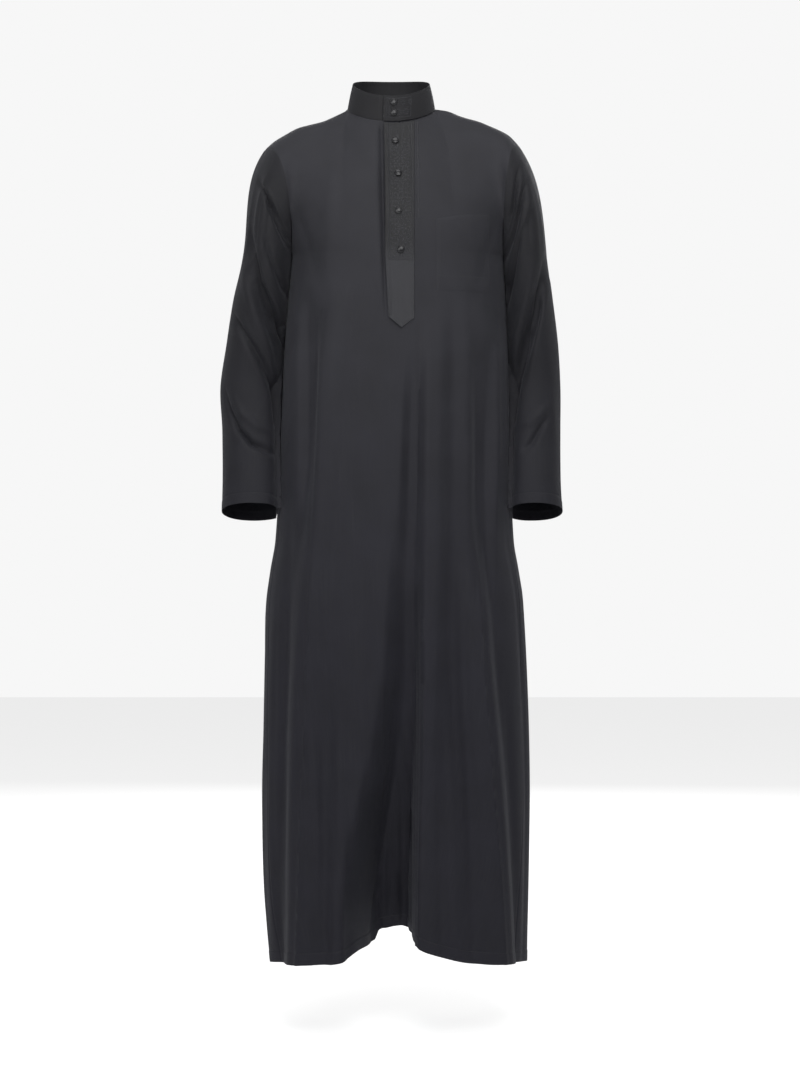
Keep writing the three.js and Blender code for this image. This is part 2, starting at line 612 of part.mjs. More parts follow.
add('front', wall(front, frontColumns, rows, {
  normalOf: panelNormal(front),
  cut: (column, row) => column === slitColumn && row >= slitRow,
}), satin);
add('back', wall(back, backColumns, rows, { normalOf: panelNormal(back) }), satin);
for (const [name, side] of [['left', 1], ['right', -1]]) {
  add(`gore_${name}`, wall(goreSide(side), [0, 0.25, 0.5, 0.75, 1], lowerRows), satin);
  const { surface, rimNormal } = sleeve(side);
  const tube = { closed: true, turn: side, normalOf: rimNormal };
  add(`sleeve_${name}`, wall(surface, sleeveAngles, sleeveRows, tube), satin);
}
add('collar', wall(collarAt, collarAngles, [0, 0.33, 0.67, 1], { normalOf: aroundNeck }), satin);
add('placket', wall(placketSurface, placketColumns, placketRows, laid), shiny);
add('placket_under', wall(placketSurface, placketColumns, placketRows.slice(1), behind), shiny);
add('pocket', wall(
  front,
  frontColumns.filter((u) => u >= POCKET_INNER && u <= POCKET_OUTER),
  rows.filter((v) => v >= heightShare(-305) && v <= 1 + POCKET_TOP_TURN / 90),
  laid,
), satin);

// Where a surface passes nearest to a place seen from the front
function nearest(surface, x, z, us, vs) {
  let best = null;
  for (const u of us) {
    for (const v of vs) {
      const point = surface(u, v);
      const miss = Math.hypot(point.x - x, point.z - z);
      if (!best || miss < best.miss) best = { u, v, miss };
    }
  }
  return best;
}

const steps = (from, to, count) => Array.from({ length: count + 1 }, (_, k) => mix(from, to, k / count));

buttonPlaces.forEach(({ on, x, z }, k) => {
  const surface = on === 'collar' ? collarAt : front;
  const us = on === 'collar' ? steps(-365, -355, 80) : steps(-EDGE, EDGE, 80);
  const vs = on === 'collar' ? steps(0, 1, 80) : steps(0.99, 2, 400);
  const place = nearest(surface, x, z, us, vs);
  const normal = normalAt(surface, place.u, place.v, 1);
  const under = on === 'collar' ? 0 : laid.out;
  const button = add(`button_${k + 1}`, buttonGeometry(), glossy);
  button.position.copy(surface(place.u, place.v)).addScaledVector(normal, under + BUTTON.lift);
  button.quaternion.setFromUnitVectors(new THREE.Vector3(0, 0, 1), normal);
});

export default robe;
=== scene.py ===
"""Thobe: an ankle-length charcoal robe, hollow as it hangs when worn.

Lengths in this script are millimetres in the robe's own frame (+Z up, front towards -Y, origin in
the middle of the neck base) and become metres when a mesh is made.
"""
from __future__ import annotations

import logging
import math
from dataclasses import dataclass, field
from enum import Enum
from typing import Callable, Sequence

import bmesh
import bpy
import numpy as np
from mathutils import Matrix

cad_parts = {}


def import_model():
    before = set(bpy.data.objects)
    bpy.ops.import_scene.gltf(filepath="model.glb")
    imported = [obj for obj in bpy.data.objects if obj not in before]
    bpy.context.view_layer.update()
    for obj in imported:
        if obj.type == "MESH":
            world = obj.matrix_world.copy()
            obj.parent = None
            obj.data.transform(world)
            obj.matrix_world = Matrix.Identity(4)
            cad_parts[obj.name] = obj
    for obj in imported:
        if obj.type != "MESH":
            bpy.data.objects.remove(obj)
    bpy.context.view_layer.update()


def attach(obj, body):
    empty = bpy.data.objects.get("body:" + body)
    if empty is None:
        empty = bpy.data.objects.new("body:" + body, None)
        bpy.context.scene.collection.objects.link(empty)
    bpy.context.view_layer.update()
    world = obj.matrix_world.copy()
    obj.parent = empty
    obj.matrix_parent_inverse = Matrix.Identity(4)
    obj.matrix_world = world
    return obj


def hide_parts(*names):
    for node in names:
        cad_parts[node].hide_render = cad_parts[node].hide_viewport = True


LOG = logging.getLogger("thobe")
MM = 0.001
BODY = "root"
SHARP_ANGLE = 50.0
SAME_PLACE = 1e-7
Array = np.ndarray
Surface = Callable[[Array, Array], Array]


class Face(Enum):
    """Side of the robe that a fold or crease lies on."""

    FRONT = "front"
    BACK = "back"
    LEFT = "left"
    RIGHT = "right"


class Slot(Enum):
    """Material slots of the record."""

    CLOTH = "cloth"
    COLLAR = "collar_cloth"
    PLACKET = "placket_satin"
    BUTTON = "button"


def ease(share: Array) -> Array:
    """Smooth step from 0 to 1: three times the square less twice the cube."""
    s = np.clip(share, 0.0, 1.0)
    return s * s * (3.0 - 2.0 * s)


def mix(a: Array, b: Array, t: Array) -> Array:
    """Straight blend from a at 0 to b at 1."""
    return a + (b - a) * t


def signed_power(base: Array, power: float) -> Array:
    """Power of the size of a number, with its sign kept."""
    return np.sign(base) * np.abs(base) ** power


def unit(vectors: Array) -> Array:
    """Vectors along the last axis, scaled to length 1."""
    return vectors / np.maximum(np.linalg.norm(vectors, axis=-1, keepdims=True), 1e-12)


class Table:
    """Short table of rows, read between its rows along a smooth curve."""

    def __init__(self, names: str, rows: Sequence[Sequence[float]]) -> None:
        """Keeps the rows in rising order of their first column.

        Args:
            names: column names, parted by spaces; the first is the column looked up.
            rows: one row for each place.
        """
        data = np.array(rows, dtype=float)
        data = data[np.argsort(data[:, 0])]
        self.keys = data[:, 0]
        self.columns = {name: data[:, i] for i, name in enumerate(names.split())}

    def at(self, column: str, place: Array) -> Array:
        """Value of a column: a cubic through the two nearest rows, its slopes taken from their neighbours.

        Args:
            column: name of the column.
            place: where to read, in the units of the first column.

        Returns:
            The column's values, held at the end rows' beyond them.
        """
        keys, values = self.keys, self.columns[column]
        last = len(keys) - 1
        low = np.maximum(np.arange(last + 1) - 1, 0)
        high = np.minimum(np.arange(last + 1) + 1, last)
        slopes = (values[high] - values[low]) / (keys[high] - keys[low])
        at = np.clip(place, keys[0], keys[last])
        i = np.clip(np.searchsorted(keys, at, side="left") - 1, 0, last - 1)
        span = keys[i + 1] - keys[i]
        t = (at - keys[i]) / span
        start = (1 + 2 * t) * (1 - t) ** 2 * values[i] + t * (1 - t) ** 2 * span * slopes[i]
        end = t * t * (3 - 2 * t) * values[i + 1] + t * t * (t - 1) * span * slopes[i + 1]
        return start + end

    def either(self, first: str, second: str, where: Array, place: Array) -> Array:
        """Value of the first column where a mask is true, and of the second elsewhere."""
        return np.where(where, self.at(first, place), self.at(second, place))


FOLD_COLUMNS = "z start end depth low high"
CREASE_REACH = 9.0
CREASE_FALL = 1.6


@dataclass(frozen=True)
class Fold:
    """Large fold down one face: its flat, how far it stands out, and the widths of its two slopes."""

    face: Face
    rows: tuple[tuple[float, ...], ...]

    def depth(self, x: Array, y: Array, z: Array, on_face: Array) -> Array:
        """Depth at points: the row's depth times a smooth rise and fall across the fold.

        Args:
            x, y, z: places on the plain form.
            on_face: 1 where the point is on the fold's face and 0 elsewhere.

        Returns:
            Distance to push each point outwards.
        """
        table = Table(FOLD_COLUMNS, self.rows)
        across = x if self.face in (Face.FRONT, Face.BACK) else y
        rise = ease(1 - (table.at("start", z) - across) / table.at("low", z))
        fall = ease(1 - (across - table.at("end", z)) / table.at("high", z))
        inside = (z <= table.keys[-1]) & (z >= table.keys[0])
        return np.where(inside, on_face * table.at("depth", z) * rise * fall, 0.0)


@dataclass(frozen=True)
class Crease:
    """Soft crease along a path of (x or y, z, depth, half width) stations on one face."""

    face: Face
    path: tuple[tuple[float, float, float, float], ...]

    def depth(self, across: Array, z: Array, on_face: Array) -> Array:
        """Depth at points: a bell across the nearest stretch of the path, as deep and wide as it is there.

        Args:
            across: x of the points on front and back, y on the sides.
            z: their height.
            on_face: 1 on the crease's face and 0 elsewhere.

        Returns:
            Distance to push each point outwards.
        """
        nearest = np.full(np.shape(z), CREASE_REACH)
        depth = np.zeros(np.shape(z))
        for (a0, z0, d0, w0), (a1, z1, d1, w1) in zip(self.path, self.path[1:]):
            run = np.hypot(a1 - a0, z1 - z0)
            t = np.clip(((across - a0) * (a1 - a0) + (z - z0) * (z1 - z0)) / run**2, 0, 1)
            off = np.hypot(across - mix(a0, a1, t), z - mix(z0, z1, t)) / mix(w0, w1, t)
            closer = off < nearest
            nearest = np.where(closer, off, nearest)
            depth = np.where(closer, mix(d0, d1, t), depth)
        return on_face * depth * np.exp(-CREASE_FALL * nearest**2)


def creases_on(face: Face, *paths: tuple[tuple[float, float, float, float], ...]) -> tuple[Crease, ...]:
    """Creases of one face, one for each path."""
    return tuple(Crease(face, path) for path in paths)


SECTIONS = Table("z left right front back", (
    (-1375, 199, 219, 158, 150), (-1250, 209, 222, 157, 146), (-1100, 212, 224, 155, 141),
    (-950, 209, 221, 151, 135), (-800, 204, 213, 146, 126), (-745, 197, 205, 143, 122),
    (-697, 189, 197, 141, 118), (-551, 181, 191, 137, 110), (-389, 174, 187, 133, 112), (-240, 162, 180, 127, 118),
))
GORE_SEAMS = Table("z front back", ((-1375, 64, 62), (-700, 74, 72), (-240, 84, 84)))
SHOULDER = Table("x left right", (
    (69, 2, 2), (90, -8, -1), (110, -17, -9), (135, -24, -17), (155, -30, -25), (175, -40, -33),
    (192, -50, -42), (206, -62, -56),
))
SLEEVES = Table("z outer_left inner_left outer_right inner_right middle depth", (
    (-651, 273, 172, 274, 181, -36, 46), (-600, 273, 172, 272, 180, -18, 52),
    (-520, 275, 174, 273, 184, 6, 58), (-450, 279, 171, 274, 183, 16, 62),
    (-380, 269, 168.5, 270, 183, 14, 67), (-310, 258, 163.5, 261, 181, 10, 72),
    (-262, 246, 160.5, 254, 179, 6, 77),
))
HEM_RISE = Table("x rise", (
    (-95, 0), (-73, 5), (-62, 15), (-38, 22), (-28, 37), (-10, 42), (33, 42), (39, 28), (66, 16),
    (116, 3), (150, 0),
))
BACK_HEM_RISE = Table("x rise", (
    (-150, 0), (-96, 11), (-44, 37), (0, 41), (52, 38), (104, 12), (160, 0),
))

BODY_FOLDS = (
    Fold(Face.FRONT, (  # recess between the legs
        (-1375, -29, 31, -136, 50, 8), (-1290, -28, 32, -116, 56, 8), (-1160, -10, 33, -78, 62, 10),
        (-1040, 12, 35, -48, 56, 12), (-900, 24, 37, -28, 44, 14), (-760, 24, 34, -14, 34, 14),
        (-620, 26, 34, 0, 28, 14))),
    Fold(Face.FRONT, (  # left leg ridge
        (-1375, -152, -142, 16, 34, 40), (-1160, -148, -138, 16, 34, 38), (-856, -136, -128, 13, 32, 34),
        (-600, -116, -108, 10, 24, 30), (-360, -98, -90, 7, 22, 30), (-280, -84, -76, 0, 22, 30))),
    Fold(Face.FRONT, (  # left waist trough
        (-760, -134, -128, 0, 18, 16), (-560, -134, -126, -8, 18, 16), (-390, -136, -126, -9, 18, 18),
        (-290, -134, -128, 0, 18, 18))),
    Fold(Face.FRONT, (  # ridge right of the middle
        (-1375, 46, 60, 6, 8, 34), (-1100, 47, 60, 9, 8, 34), (-860, 50, 64, 12, 11, 30),
        (-650, 54, 70, 11, 12, 28), (-450, 57, 73, 9, 14, 28), (-330, 60, 72, 0, 18, 28))),
    Fold(Face.FRONT, (  # trough under the placket
        (-760, 28, 38, 0, 20, 10), (-640, 29, 40, -10, 20, 10), (-500, 32, 42, -9, 18, 10),
        (-400, 34, 42, 0, 16, 12))),
    Fold(Face.FRONT, (  # right waist trough
        (-820, 140, 150, 0, 26, 16), (-700, 142, 152, -9, 24, 16), (-560, 142, 154, -14, 22, 15),
        (-450, 140, 154, -8, 22, 15), (-370, 140, 152, 0, 22, 15))),
    Fold(Face.FRONT, (  # right leg ridge
        (-1375, 176, 184, 12, 44, 18), (-1230, 167, 174, 15, 42, 20), (-1058, 153, 160, 16, 38, 22),
        (-897, 140, 146, 13, 34, 22), (-754, 132, 138, 8, 30, 20), (-650, 124, 130, 0, 26, 20))),
    Fold(Face.BACK, (
        (-1375, 104, 120, 26, 44, 40), (-1050, 100, 112, 17, 40, 38), (-760, 92, 100, 8, 34, 34),
        (-520, 84, 90, 0, 30, 30))),
    Fold(Face.BACK, (
        (-1375, 6, 26, -34, 46, 34), (-1100, 4, 22, -22, 44, 36), (-820, 2, 14, -9, 38, 36),
        (-600, 2, 10, 0, 34, 34))),
    Fold(Face.BACK, (
        (-1375, -104, -84, 24, 46, 40), (-1080, -98, -84, 16, 42, 40), (-800, -90, -82, 7, 36, 36),
        (-560, -82, -76, 0, 30, 30))),
    Fold(Face.LEFT, (
        (-1375, 6, 26, -20, 34, 40), (-1050, 4, 18, -12, 34, 38), (-780, 2, 10, 0, 30, 30))),
    Fold(Face.RIGHT, (
        (-1375, -10, 8, -17, 36, 40), (-1100, -6, 6, -11, 34, 38), (-820, -4, 4, 0, 30, 30))),
)
RIGHT_SLEEVE_FOLDS = (
    Fold(Face.FRONT, (
        (-440, -178, -172, 0, 14, 16), (-389, -186, -178, -7, 14, 18), (-324, -208, -200, -9, 14, 18),
        (-272, -226, -219, -5, 14, 18), (-246, -232, -226, 0, 14, 18))),
)
LEFT_SLEEVE_FOLDS = (
    Fold(Face.FRONT, (
        (-470, 200, 206, 0, 16, 14), (-410, 206, 214, -7, 18, 14), (-340, 222, 230, -9, 18, 14),
        (-285, 236, 242, -5, 18, 14), (-250, 244, 250, 0, 18, 14))),
)


@dataclass(frozen=True)
class Neck:
    """Neck base: half widths, depths, and how the seam dips towards the front."""

    left: float = 72.0
    right: float = 67.0
    front: float = 66.0
    back: float = 62.0
    side: float = 2.0
    tilt: float = 22.0
    dip: float = 8.0


@dataclass(frozen=True)
class PlacketLine:
    """Run of the placket down the front: middles, half widths and ends."""

    neck_x: float = 12.0
    chest_x: float = 13.7
    end_x: float = 15.5
    neck_half: float = 23.5
    chest_half: float = 21.8
    end_half: float = 20.2
    corner_z: float = -352.0
    tip_z: float = -369.0
    slit_half: float = 1.2


@dataclass(frozen=True)
class Armhole:
    """Swell of chest and back into the armhole, how fast it fades inwards, and how full it is."""

    front: float = 70.0
    back: float = 76.0
    front_scoop: float = 4.0
    back_scoop: float = 2.0
    reach: float = 4.0
    fullness: float = 0.8


@dataclass(frozen=True)
class RobeForm:
    """Plain outer form of the robe as surfaces of two shares, u across and v up."""

    armpit_z: float = -240.0
    hem_z: float = -1375.0
    hem_tilt: float = 15.0
    squareness: float = 2.3
    edge: float = 0.12
    neck_edge: float = 0.38
    shoulder_x: float = 206.0
    shoulder_back: float = 12.0
    chest_end: float = 50.0
    blade_end: float = 62.0
    level_share: float = 0.75
    chest_fall: float = 1.1
    blade_fall: float = 0.85
    sleeve_top_z: float = -262.0
    cuff_z: float = -651.0
    cuff_tilt: float = 0.3
    gore_turn: float = 8.0
    sleeve_clear: float = 0.5
    contact_blend: float = 0.9
    sleeve_roundness: float = 0.93
    cap_out: float = 0.6
    cap_out_face: float = 0.2
    cap_out_under: float = 0.58
    cap_drop: float = 0.8
    cap_step: float = 3.0
    neck: Neck = field(default_factory=Neck)
    placket: PlacketLine = field(default_factory=PlacketLine)
    armhole: Armhole = field(default_factory=Armhole)

    def height(self, v: Array) -> Array:
        """Nominal height of a row below the armpits."""
        return mix(self.hem_z, self.armpit_z, v)

    def row(self, z: float) -> float:
        """Share v of the row that lies at a height below the armpits."""
        return (z - self.hem_z) / (self.armpit_z - self.hem_z)

    def ring(self, angle: Array, z: Array) -> Array:
        """Section of the body: a squared ellipse, pushed along its normal by the folds.

        Args:
            angle: angle from the front middle towards +X, in radians.
            z: height.

        Returns:
            Points, with x, y and z along the last axis.
        """
        power = 2 / self.squareness
        s, c = np.sin(angle), np.cos(angle)
        width = SECTIONS.either("left", "right", s < 0, z)
        depth = SECTIONS.either("front", "back", c > 0, z)
        x = width * signed_power(s, power)
        y = -depth * signed_power(c, power)
        nx = signed_power(x / width, self.squareness - 1) / width
        ny = signed_power(y / depth, self.squareness - 1) / depth
        facing = {Face.FRONT: c > 0, Face.BACK: c <= 0, Face.LEFT: s > 0, Face.RIGHT: s <= 0}
        out = sum(fold.depth(x, y, z, facing[fold.face] * 1.0) for fold in BODY_FOLDS)
        out = out / np.hypot(nx, ny)
        return np.stack(np.broadcast_arrays(x + nx * out, y + ny * out, z), axis=-1)

    def body_edge(self, side: float, y: Array, z: Array) -> Array:
        """Half width of the body's plain section at a depth, which a sleeve keeps clear of."""
        width = SECTIONS.at("left" if side < 0 else "right", z)
        depth = SECTIONS.either("front", "back", y < 0, z)
        return width * np.maximum(1 - np.abs(y / depth) ** self.squareness, 0) ** (1 / self.squareness)

    def hem_height(self, angle: Array) -> Array:
        """Height of the hem: a little higher in front, and raised between the legs on both faces."""
        s, c = np.sin(angle), np.cos(angle)
        x = SECTIONS.either("left", "right", s < 0, self.hem_z) * signed_power(s, 2 / self.squareness)
        rise = np.where(c > 0, HEM_RISE.at("rise", x), BACK_HEM_RISE.at("rise", x))
        return self.hem_z + self.hem_tilt * np.maximum(c, 0) + rise

    def lower(self, angle: Array, v: Array) -> Array:
        """Body below the armpits at an angle and a share of the height."""
        return self.ring(angle, mix(self.hem_height(angle), self.armpit_z, v))

    def lower_front(self, u: Array, v: Array) -> Array:
        """Front below the armpits; its inner columns keep to the placket's line."""
        z = self.height(v)
        t = np.clip((self.armpit_z - z) / (self.armpit_z - self.placket.corner_z), 0, 1)
        middle = mix(self.placket.chest_x, self.placket.end_x, t)
        half = mix(self.placket.chest_half, self.placket.end_half, t)
        x = middle + np.clip(u, -self.edge, self.edge) / self.edge * half
        inner = np.arcsin(signed_power(x / SECTIONS.either("left", "right", x < 0, z), self.squareness / 2))
        seam = np.sign(u) * np.radians(GORE_SEAMS.at("front", z))
        beyond = np.maximum((np.abs(u) - self.edge) / (1 - self.edge), 0)
        return self.lower(mix(inner, seam, beyond), v)

    def lower_back(self, u: Array, v: Array) -> Array:
        """Back below the armpits."""
        return self.lower(np.pi + u * np.radians(GORE_SEAMS.at("back", self.height(v))), v)

    def gore(self, side: float) -> Surface:
        """Side gore, from its front seam at share 0 to its back seam at share 1.

        Args:
            side: 1 on the wearer's left, -1 on the right.

        Returns:
            The gore as a surface of u and v.
        """
        def surface(u: Array, v: Array) -> Array:
            """Gore at shares u and v."""
            z = self.height(v)
            start = np.radians(GORE_SEAMS.at("front", z))
            end = np.pi - np.radians(GORE_SEAMS.at("back", z))
            return self.lower(side * mix(start, end, u if side > 0 else 1 - u), v)
        return surface

    def neck_base(self, angle: Array) -> Array:
        """Neck seam: an ellipse in plan that dips towards the front."""
        s, c = np.sin(angle), np.cos(angle)
        x = np.where(s < 0, self.neck.left, self.neck.right) * s
        y = -np.where(c > 0, self.neck.front, self.neck.back) * c
        return np.stack([x, y, self.neck.side - self.neck.tilt * c - self.neck.dip * c * c], axis=-1)

    def top_edge(self, u: Array, facing: float) -> Array:
        """Top edge of the front (facing 1) or back (-1): the neckline, then the shoulder seam."""
        share = np.abs(u)
        side = facing * np.sign(u)
        beyond = np.maximum((share - self.neck_edge) / (1 - self.neck_edge), 0)
        start = np.where(side < 0, self.neck.left, self.neck.right)
        x = mix(start, self.shoulder_x, beyond)
        z = SHOULDER.either("left", "right", side < 0, x)
        seam = np.stack([side * x, self.shoulder_back * beyond, z], axis=-1)
        if facing < 0:
            angle = np.pi + np.clip(u / self.neck_edge, -1, 1) * np.pi / 2
        else:
            near = np.clip(u, -self.edge, self.edge) / self.edge
            place = self.placket.neck_x + near * self.placket.neck_half
            inner = np.arcsin(place / np.where(place < 0, self.neck.left, self.neck.right))
            out = np.clip((share - self.edge) / (self.neck_edge - self.edge), 0, 1)
            angle = mix(inner, np.sign(u) * np.pi / 2, out)
        return np.where((share > self.neck_edge)[..., None], seam, self.neck_base(angle))

    def upper(self, u: Array, v: Array, facing: float) -> Array:
        """Chest or upper back: columns round over from the armpit ring to the top edge.

        Each column follows a cosine across and a sine upwards, and the outer columns swell into the armhole.

        Args:
            u: share across, -1 to 1.
            v: 1 at the armpits and 2 at the top edge.
            facing: 1 for the front and -1 for the back.

        Returns:
            Points of the surface.
        """
        front = facing > 0
        share = np.abs(u)
        low = self.lower_front(u, np.ones_like(v)) if front else self.lower_back(u, np.ones_like(v))
        top = self.top_edge(u, facing)
        steep = self.chest_end if front else self.blade_end
        end = np.radians(mix(steep, 90.0, ease(share / self.level_share)))
        turn = (v - 1) * end
        swell = share**self.armhole.reach * np.maximum(np.sin(np.pi * (v - 1)), 0) ** self.armhole.fullness
        scoop = self.armhole.front_scoop if front else self.armhole.back_scoop
        bulge = self.armhole.front if front else self.armhole.back
        across = np.maximum((np.cos(turn) - np.cos(end)) / (1 - np.cos(end)), 0)
        fall = across ** mix(self.chest_fall if front else self.blade_fall, 1.0, share)
        x = top[..., 0] + (low[..., 0] - top[..., 0]) * across - facing * np.sign(u) * scoop * swell
        y = top[..., 1] + (low[..., 1] - top[..., 1]) * fall - facing * bulge * swell
        z = low[..., 2] + (top[..., 2] - low[..., 2]) * np.sin(turn) / np.sin(end)
        return np.stack([x, y, z], axis=-1)

    def front(self, u: Array, v: Array) -> Array:
        """Front panel, hem at 0, armpits at 1 and top edge at 2."""
        u, v = np.broadcast_arrays(np.asarray(u, float), np.asarray(v, float))
        low = self.lower_front(u, np.minimum(v, 1))
        return np.where((v <= 1)[..., None], low, self.upper(u, np.maximum(v, 1), 1.0))

    def back(self, u: Array, v: Array) -> Array:
        """Back panel, hem at 0, armpits at 1 and top edge at 2."""
        u, v = np.broadcast_arrays(np.asarray(u, float), np.asarray(v, float))
        low = self.lower_back(u, np.minimum(v, 1))
        return np.where((v <= 1)[..., None], low, self.upper(u, np.maximum(v, 1), -1.0))

    def sleeve(self, side: float) -> Surface:
        """Sleeve: curved runs from the armhole (0) to a level section (1), then sections to the cuff (2).

        Args:
            side: 1 on the wearer's left, -1 on the right.

        Returns:
            The sleeve as a surface of an angle, from the outer edge over the front, and a share down.
        """
        end = "left" if side < 0 else "right"
        folds = RIGHT_SLEEVE_FOLDS if side < 0 else LEFT_SLEEVE_FOLDS
        half_turn = 180 - self.gore_turn

        def section(angle: Array, z: Array) -> Array:
            """Level section, an ellipse that leans down at the back towards the cuff."""
            outer, inner = SLEEVES.at(f"outer_{end}", z), SLEEVES.at(f"inner_{end}", z)
            middle, depth = SLEEVES.at("middle", z), SLEEVES.at("depth", z)
            nx, ny = np.cos(angle), -np.sin(angle)
            x = side * ((outer + inner) / 2 + (outer - inner) / 2 * signed_power(nx, self.sleeve_roundness))
            y = middle + depth * signed_power(ny, self.sleeve_roundness)
            tilt = self.cuff_tilt * ease((self.sleeve_top_z - z) / (self.sleeve_top_z - self.cuff_z))
            out = sum(fold.depth(x, y, z, (ny < 0) * 1.0) for fold in folds)
            drop, reach, back = z - tilt * (y - middle), side * x + nx * out, y + ny * out
            limit = self.body_edge(side, back, drop) + self.sleeve_clear
            reach = (reach + limit + np.hypot(reach - limit, self.contact_blend)) / 2
            return np.stack([side * reach, back, drop], axis=-1)

        def armhole(angle: Array) -> Array:
            """Armhole seam: down the front's edge, across the gore's top and up the back's edge."""
            turn = np.degrees(angle) % 360
            across = np.clip((turn - half_turn) / (2 * self.gore_turn), 0, 1)
            ones = np.ones_like(turn)
            front = self.front(side * ones, np.clip(2 - turn / half_turn, 1, 2))
            back = self.back(-side * ones, np.clip(2 - (360 - turn) / half_turn, 1, 2))
            gore = self.gore(side)(across if side > 0 else 1 - across, ones)
            point = np.where((turn < half_turn)[..., None], front, back)
            under = (np.abs(turn - 180) <= self.gore_turn)[..., None]
            return np.where(under, gore, point)

        def surface(angle: Array, t: Array) -> Array:
            """Sleeve at an angle and a share down."""
            angle, t = np.broadcast_arrays(np.asarray(angle, float), np.asarray(t, float))
            start = armhole(angle)
            finish = section(angle, np.full_like(t, self.sleeve_top_z))
            reach = np.linalg.norm(finish - start, axis=-1, keepdims=True)
            under = np.maximum(-np.cos(angle), 0) ** 2
            out = self.cap_out + self.cap_out_face * np.sin(angle) ** 2 - self.cap_out_under * under
            leave = unit(np.stack([side * out, 0 * t, 0 * t - self.cap_drop], axis=-1))
            below = section(angle, np.full_like(t, self.sleeve_top_z - self.cap_step))
            arrive = (below - finish) / self.cap_step
            s = np.minimum(t, 1)[..., None]
            cap = (1 + 2 * s) * (1 - s) ** 2 * start + reach * s * (1 - s) ** 2 * leave
            cap = cap + s * s * (3 - 2 * s) * finish + reach * s * s * (s - 1) * arrive
            tube = section(angle, mix(self.sleeve_top_z, self.cuff_z, np.maximum(t, 1) - 1))
            return np.where((t > 1)[..., None], tube, cap)

        return surface


